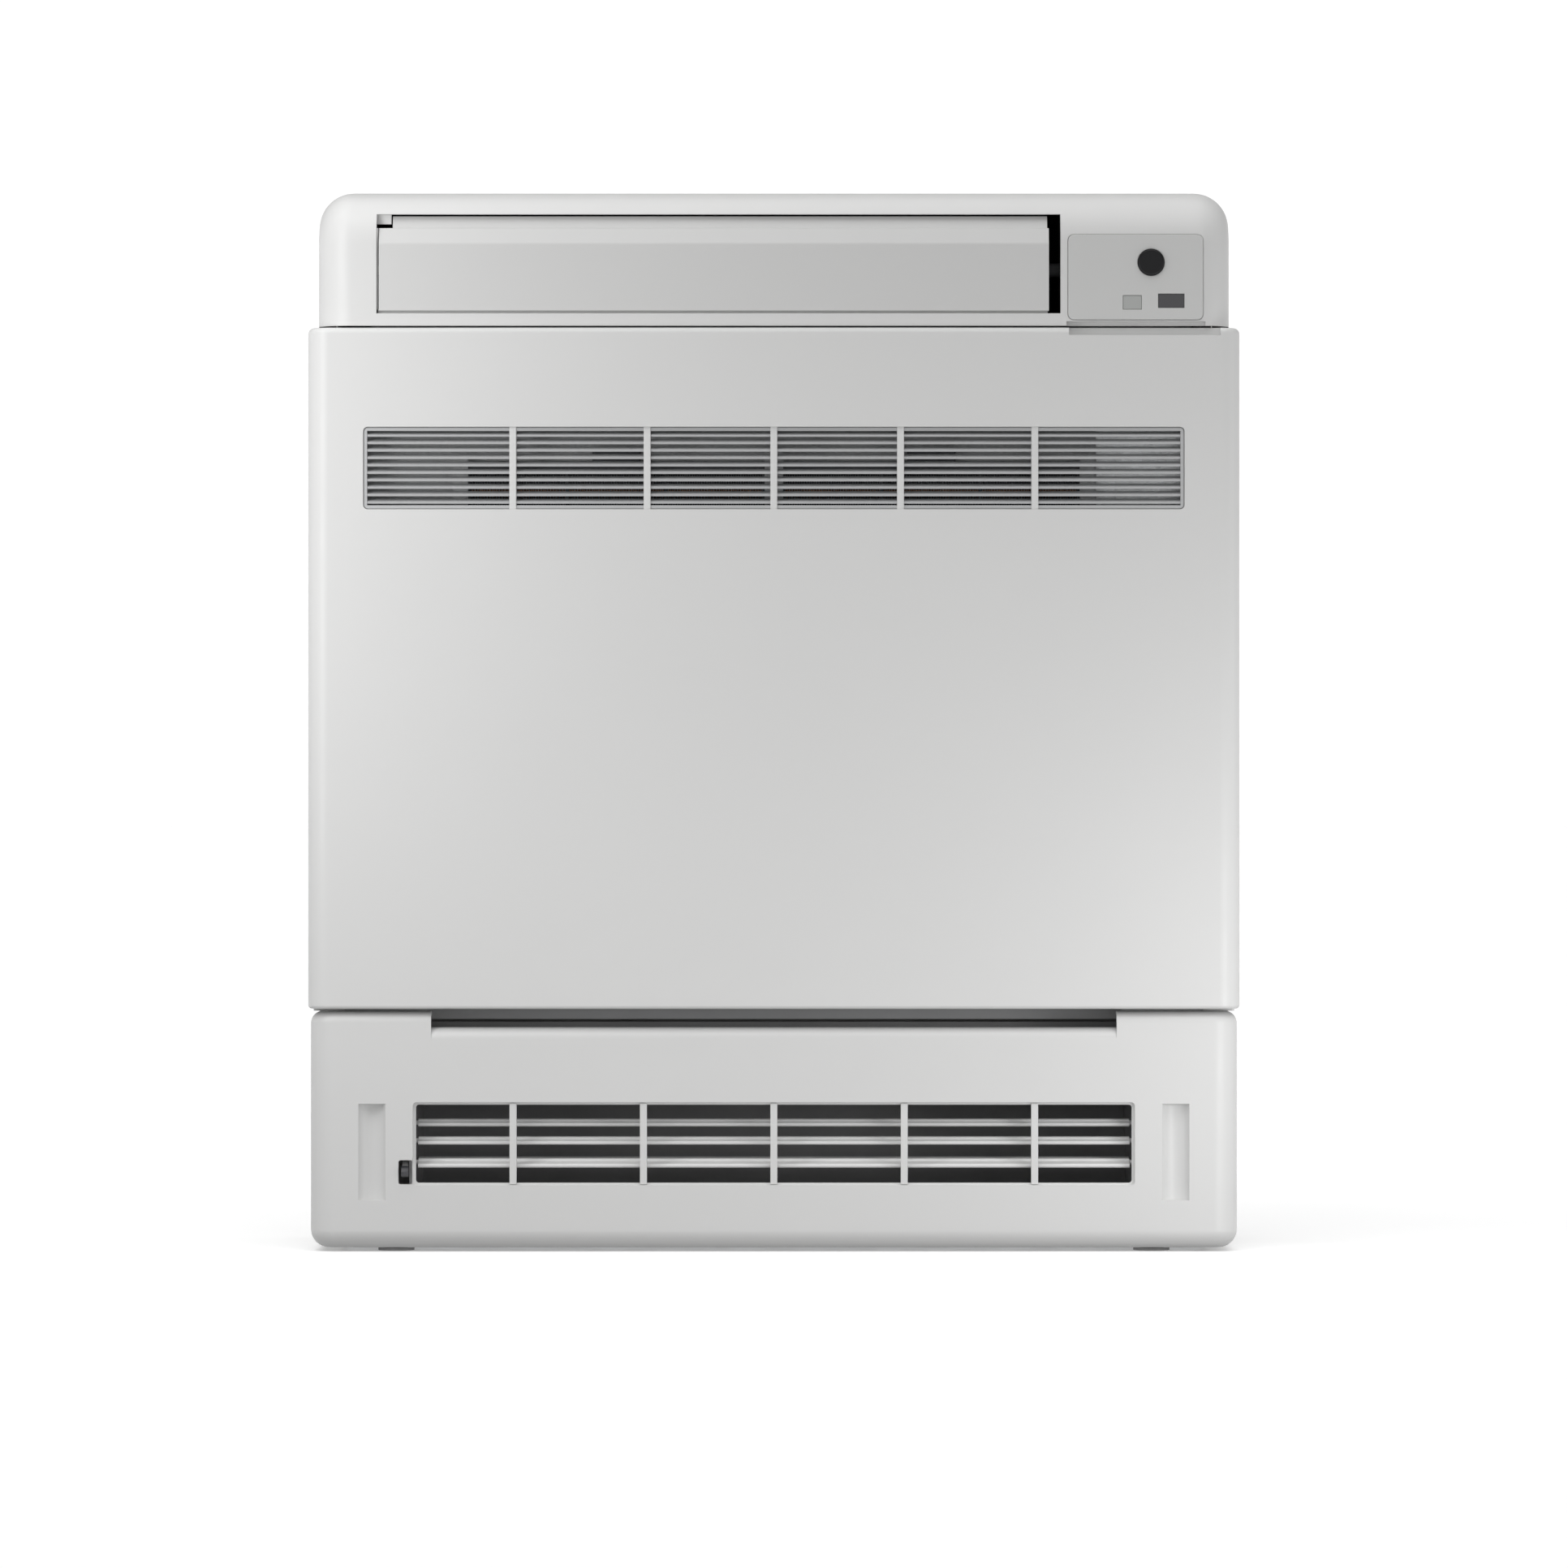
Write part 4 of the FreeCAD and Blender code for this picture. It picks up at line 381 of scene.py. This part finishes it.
# Filters: a moulded frame with cross ribs, a grip tab and a drawn net.
def filter_piece(side, body, node):
    lo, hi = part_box(node)
    x0, x1 = lo.x / MM, hi.x / MM
    y0, y1 = lo.y / MM, hi.y / MM
    z0, z1 = lo.z / MM, hi.z / MM - 11.0
    bm = bmesh.new()
    bar(bm, (x0, y0, z0), (x0 + 5, y1, z1), 0.8)
    bar(bm, (x1 - 5, y0, z0), (x1, y1, z1), 0.8)
    bar(bm, (x0 + 4.5, y0, z0), (x1 - 4.5, y1, z0 + 6), 0.8)
    bar(bm, (x0 + 4.5, y0, z1 - 6), (x1 - 4.5, y1, z1), 0.8)
    cols, rows = 3, 5
    pw = (x1 - x0 - 10 - 2.2 * (cols - 1)) / cols
    ph = (z1 - z0 - 12 - 2.2 * (rows - 1)) / rows
    for i in range(1, cols):
        x = x0 + 5 + pw * i + 2.2 * (i - 1)
        bar(bm, (x, y0 + 0.6, z0 + 5.5), (x + 2.2, y1 - 0.8, z1 - 5.5), 0.5)
    for j in range(1, rows):
        z = z0 + 6 + ph * j + 2.2 * (j - 1)
        bar(bm, (x0 + 4.5, y0 + 0.8, z), (x1 - 4.5, y1 - 1.0, z + 2.2), 0.5)
    xm = (x0 + x1) / 2
    bar(bm, (xm - 16, y0, z1 - 1), (xm + 16, y0 + 2, z1 + 11), 0.9, 3)
    for k in range(4):
        z = z1 + 2.0 + 2.2 * k
        bar(bm, (xm - 12, y0 + 1.8, z), (xm + 12, y0 + 2.5, z + 1.0), 0.3)
    frame_obj = mesh_piece("filter_frame_" + side, bm, body, M["filter_grey"], replaces=[node])
    bm = bmesh.new()
    pitch, t = 1.6, 0.17
    ym = y0 + 3.2
    n = int((x1 - x0 - 8) / pitch)
    for i in range(1, n):
        x = x0 + 4 + (x1 - x0 - 8) * i / n
        prism(bm, [Vector((x + a * t, ym + b * t - 0.12, z0 + 5)) * MM for a, b in ((-1, -1), (1, -1), (1, 1), (-1, 1))],
              [Vector((x + a * t, ym + b * t - 0.12, z1 - 5)) * MM for a, b in ((-1, -1), (1, -1), (1, 1), (-1, 1))])
    n = int((z1 - z0 - 10) / pitch)
    for j in range(1, n):
        z = z0 + 5 + (z1 - z0 - 10) * j / n
        prism(bm, [Vector((x0 + 4, ym + b * t + 0.12, z + a * t)) * MM for a, b in ((-1, -1), (1, -1), (1, 1), (-1, 1))],
              [Vector((x1 - 4, ym + b * t + 0.12, z + a * t)) * MM for a, b in ((-1, -1), (1, -1), (1, 1), (-1, 1))])
    net = mesh_piece("filter_net_" + side, bm, body, NET)
    return frame_obj, net


NET = moulded("filter_net", (0.045, 0.050, 0.060), 0.5, grain=2500.0, mottle=0.15, edge=0.0)
filter_piece("left", "filter_left", "air_filter_left")
filter_piece("right", "filter_right", "air_filter_right")

# Coil: rippled fins at 2 mm, in place of the pierced block.
lo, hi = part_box("coil_fins")
bm = bmesh.new()
STEPS = 12
count = int(round((hi.x - lo.x) / (2.0 * MM)))
for i in range(count + 1):
    x = lo.x + (hi.x - lo.x) * i / count
    x = min(max(x, lo.x + 0.2 * MM), hi.x - 0.2 * MM)
    ring = []
    for side in (1, -1):
        order = range(STEPS + 1) if side > 0 else range(STEPS, -1, -1)
        for k in order:
            y = lo.y + (hi.y - lo.y) * k / STEPS
            dx = 0.16 * MM * math.sin(4.0 * math.pi * k / STEPS) * (0.0 if i in (0, count) else 1.0)
            ring.append((x + dx + side * 0.06 * MM, y))
    prism(bm, [Vector((u, v, lo.z)) for u, v in ring], [Vector((u, v, hi.z)) for u, v in ring])
mesh_piece("coil_fin_stack", bm, "cabinet", M["fin_aluminium"], replaces=["coil_fins"])


# Screws: domed heads with a cross recess.
def screw_mesh():
    head = bmesh.new()
    turned(head, [(0.0, 0.0), (1.9, 0.0), (1.9, -2.3), (3.7, -2.3), (3.7, -2.9), (3.45, -3.5), (2.9, -3.95), (2.0, -4.2), (1.0, -4.28), (0.0, -4.3)], (0.0, 0.0), 40)
    bmesh.ops.recalc_face_normals(head, faces=head.faces)
    mesh = bpy.data.meshes.new("screw_blank")
    head.to_mesh(mesh)
    head.free()
    blank = bpy.data.objects.new("screw_blank", mesh)
    tool_bm = bmesh.new()
    w, a = 0.42, 2.0
    plus = [(-w, -a), (w, -a), (w, -w), (a, -w), (a, w), (w, w), (w, a), (-w, a), (-w, w), (-a, w), (-a, -w), (-w, -w)]
    prism(tool_bm, [Vector((x, -5.0, z)) * MM for x, z in plus], [Vector((x * 0.62, -3.0, z * 0.62)) * MM for x, z in plus])
    bmesh.ops.recalc_face_normals(tool_bm, faces=tool_bm.faces)
    tool_mesh = bpy.data.meshes.new("screw_tool")
    tool_bm.to_mesh(tool_mesh)
    tool_bm.free()
    tool = bpy.data.objects.new("screw_tool", tool_mesh)
    scene.collection.objects.link(blank)
    scene.collection.objects.link(tool)
    mod = blank.modifiers.new("recess", "BOOLEAN")
    mod.operation, mod.object, mod.solver = "DIFFERENCE", tool, "EXACT"
    bpy.context.view_layer.update()
    done = bpy.data.meshes.new_from_object(blank.evaluated_get(bpy.context.evaluated_depsgraph_get()))
    bpy.data.objects.remove(blank)
    bpy.data.objects.remove(tool)
    return done


one = screw_mesh()
bm = bmesh.new()
REAR_SCREWS = [(-290, 185), (-290, 400), (-290, 585), (290, 185), (290, 400), (290, 585)]
FRAME_SCREWS = [(-293, 230), (-293, 400), (-293, 570), (293, 230), (293, 400), (293, 570)]
for i, (x, z) in enumerate(REAR_SCREWS):
    part = bmesh.new()
    part.from_mesh(one)
    spin = Matrix.Rotation(math.radians(180), 4, "Z") @ Matrix.Rotation(math.radians(17 * i + 8), 4, "Y")
    bmesh.ops.transform(part, verts=part.verts, matrix=Matrix.Translation(Vector((x, 102.7, z)) * MM) @ spin)
    add(bm, part)
for i, (x, z) in enumerate(FRAME_SCREWS):
    part = bmesh.new()
    part.from_mesh(one)
    spin = Matrix.Rotation(math.radians(23 * i + 5), 4, "Y")
    bmesh.ops.transform(part, verts=part.verts, matrix=Matrix.Translation(Vector((x, -83.7, z)) * MM) @ spin)
    add(bm, part)
mesh_piece("screw_set", bm, "cabinet", M["motor_steel"], smooth=True, replaces=["assembly_screws"])

# Flare unions: hexagon, rolled thread, flare cone and bore.
bm = bmesh.new()
for z, flats, r, bore, pitch in ((116.0, 20.0, 7.9, 4.0, 1.41), (84.0, 14.0, 5.5, 2.6, 1.27)):
    corner = flats / math.sqrt(3.0)

    def hexagon(q, y, turn, corner=corner, flats=flats):
        a = (turn * 360.0) % 60.0 - 30.0
        flat = flats / 2.0 / math.cos(math.radians(a))
        return min(q, flat)

    nut = [(0.0, 76.0), (flats * 0.47, 76.0), (corner, 77.6), (corner, 84.4), (flats * 0.49, 86.0), (r - 0.9, 86.0)]
    rows = []
    steps = int(13.0 / pitch * 8)
    for k in range(steps + 1):
        rows.append((r, 86.2 + 11.2 * k / steps))

    def thread(q, y, turn, r=r, pitch=pitch):
        phase = (y / pitch - turn) % 1.0
        return q - 0.62 * pitch * abs(phase - 0.5) * 1.1

    part = bmesh.new()
    turned(part, nut, (-272.0, z), 72, lambda q, y, t: hexagon(q, y, t) if y < 86.05 else q)
    body_rows = [(r - 0.9, 86.0)] + rows + [(r - 1.2, 97.6), (bore + 1.0, 99.0), (bore, 98.2), (bore, 84.0), (0.0, 84.0)]
    turned(part, body_rows, (-272.0, z), 72, lambda q, y, t, r=r: thread(q, y, t) if q == r else q)
    bmesh.ops.remove_doubles(part, verts=part.verts, dist=1e-6)
    add(bm, part)
mesh_piece("union_set", bm, "cabinet", M["brass"], smooth=True, replaces=["flare_unions"])

# Ribs moulded on the inside of the front panel.
bm = bmesh.new()
for x in (-255, -170, -85, 0, 85, 170, 255):
    bar(bm, (x - 0.8, -105.4, 200), (x + 0.8, -98.6, 480), 0.25)
    bar(bm, (x - 0.8, -105.4, 556), (x + 0.8, -98.6, 588), 0.25)
for z in (200, 270, 340, 410, 480, 556, 588):
    bar(bm, (-270, -105.4, z - 0.8), (270, -98.9, z + 0.8), 0.25)
mesh_piece("panel_ribs", bm, "panel", M["white_shell"])

# Bars of the panel that cross the intake window, in the colour of the panel.
bm = bmesh.new()
for x in (-172.0, -83.5, 0.0, 83.5, 172.0):
    bar(bm, (x - 2.3, -106.3, 489.1), (x + 2.3, -105.0, 544.3), 0.55, 3)
mesh_piece("window_bars", bm, "panel", M["white_shell"])

# Stop behind the closed louver, along the sill and the left end of its opening.
bm = bmesh.new()
bar(bm, (-263.4, -101.0, 616.9), (180.6, -98.7, 618.6), 0.2)
bar(bm, (-263.4, -100.1, 617.4), (180.6, -98.7, 621.6), 0.2)
bar(bm, (-264.6, -101.0, 617.4), (-262.2, -98.7, 675.2), 0.2)
bar(bm, (-263.6, -100.1, 617.6), (-260.9, -98.7, 675.2), 0.2)
bar(bm, (-262.4, -94.8, 677.9), (-252.4, -92.2, 684.8), 0.2)
mesh_piece("louver_stop", bm, "cabinet", M["white_shell"])

# Dark sleeve on the tip of the blade lever: a dark cap, and also painted shade standing in for the shade of the slot
# round the lever.
LEVER_Z = 58.4
bm = bmesh.new()
tip = [(-99.4, -1.7), (-105.1, -3.2), (-106.7, -4.8), (-107.05, -5.6), (-107.05, -7.4), (-106.6, -8.4), (-105.2, -9.0), (-99.4, -8.15)]
prism(bm, [Vector((-245.6, y, LEVER_Z + z)) * MM for y, z in tip], [Vector((-240.8, y, LEVER_Z + z)) * MM for y, z in tip])
bmesh.ops.recalc_face_normals(bm, faces=bm.faces)
bmesh.ops.bevel(bm, geom=list(bm.edges), offset=0.32 * MM, segments=2, profile=0.5, affect="EDGES", clamp_overlap=True)
mesh_piece("lever_sleeve_painted_shade", bm, "blade_low", M["component_dark"], smooth=True)

# --------------------------------------------------------------------- stage
s = Sheet("studio_paper")
s.link(s.ramp(s.noise(3.0, 4.0), [(0.3, (0.90, 0.90, 0.90)), (0.7, (0.93, 0.93, 0.93))]), s.bsdf.inputs["Base Color"])
s.link(s.spread(s.noise(30.0), 0.85, 0.95), s.bsdf.inputs["Roughness"])
s.link(s.bump(s.noise(500.0), 0.05, 0.0001), s.bsdf.inputs["Normal"])
s.put(Specular_IOR_Level=0.1, Emission_Color=(1.0, 1.0, 1.0, 1.0), Emission_Strength=0.21)
paper = s.mat

bm = bmesh.new()
centre = bm.verts.new((0.0, 0.0, 0.0))
rings = []
for r in (1.0, 3.0, 9.0, 60.0):
    rings.append([bm.verts.new((r * math.cos(2 * math.pi * i / 48), r * math.sin(2 * math.pi * i / 48), 0.0)) for i in range(48)])
for i in range(48):
    j = (i + 1) % 48
    bm.faces.new((centre, rings[0][i], rings[0][j]))
    for p, q in zip(rings, rings[1:]):
        bm.faces.new((p[i], q[i], q[j], p[j]))
mesh = bpy.data.meshes.new("studio_floor")
bm.to_mesh(mesh)
bm.free()
floor = bpy.data.objects.new("studio_floor", mesh)
floor.data.materials.append(paper)
scene.collection.objects.link(floor)
floor.visible_diffuse = False


def softbox(name, at, to, wide, high, power):
    data = bpy.data.lights.new(name, "AREA")
    data.shape = "RECTANGLE"
    data.size, data.size_y = wide, high
    data.energy = power
    lamp = bpy.data.objects.new(name, data)
    lamp.location = at
    lamp.rotation_euler = (Vector(to) - Vector(at)).to_track_quat("-Z", "Y").to_euler()
    lamp.visible_camera = False
    scene.collection.objects.link(lamp)
    return lamp


# Air: white at the horizon, dim above and below.
world = bpy.data.worlds.new("studio_air")
world.use_nodes = True
wt = world.node_tree
back = wt.nodes["Background"]
back.inputs["Strength"].default_value = 1.06
way = wt.nodes.new("ShaderNodeTexCoord")
up = wt.nodes.new("ShaderNodeSeparateXYZ")
glow = wt.nodes.new("ShaderNodeValToRGB")
steps = [(0.40, 0.38), (0.485, 0.38), (0.497, 1.0), (0.565, 1.0), (0.62, 0.16), (0.90, 0.16)]
while len(glow.color_ramp.elements) < len(steps):
    glow.color_ramp.elements.new(0.5)
for item, (pos, level) in zip(glow.color_ramp.elements, steps):
    item.position = pos
    item.color = (level, level, level, 1.0)
half = wt.nodes.new("ShaderNodeMath")
half.operation = "MULTIPLY_ADD"
half.inputs[1].default_value = 0.5
half.inputs[2].default_value = 0.5
wt.links.new(way.outputs["Generated"], up.inputs["Vector"])
wt.links.new(up.outputs["Z"], half.inputs[0])
wt.links.new(half.outputs["Value"], glow.inputs["Fac"])
wt.links.new(glow.outputs["Color"], back.inputs["Color"])
scene.world = world

data = bpy.data.lights.new("ceiling", "SUN")
data.energy = 2.26
data.angle = math.radians(80.0)
ceiling = bpy.data.objects.new("ceiling", data)
ceiling.location = (0.0, 0.0, 5.0)
ceiling.rotation_euler = (math.radians(12.0), 0.0, 0.0)
scene.collection.objects.link(ceiling)
softbox("key_left", (-0.52, -0.42, 0.60), (-0.25, -0.1, 0.55), 0.15, 0.7, 1.42)
softbox("fill_right", (0.50, -0.42, 0.14), (0.22, -0.1, 0.18), 0.15, 0.25, 0.66)
softbox("fill_low", (0.10, -0.55, 0.14), (0.10, -0.1, 0.16), 0.70, 0.08, 0.29)
softbox("rim_right", (0.56, -0.16, 0.38), (0.30, -0.09, 0.38), 0.05, 0.60, 0.13)
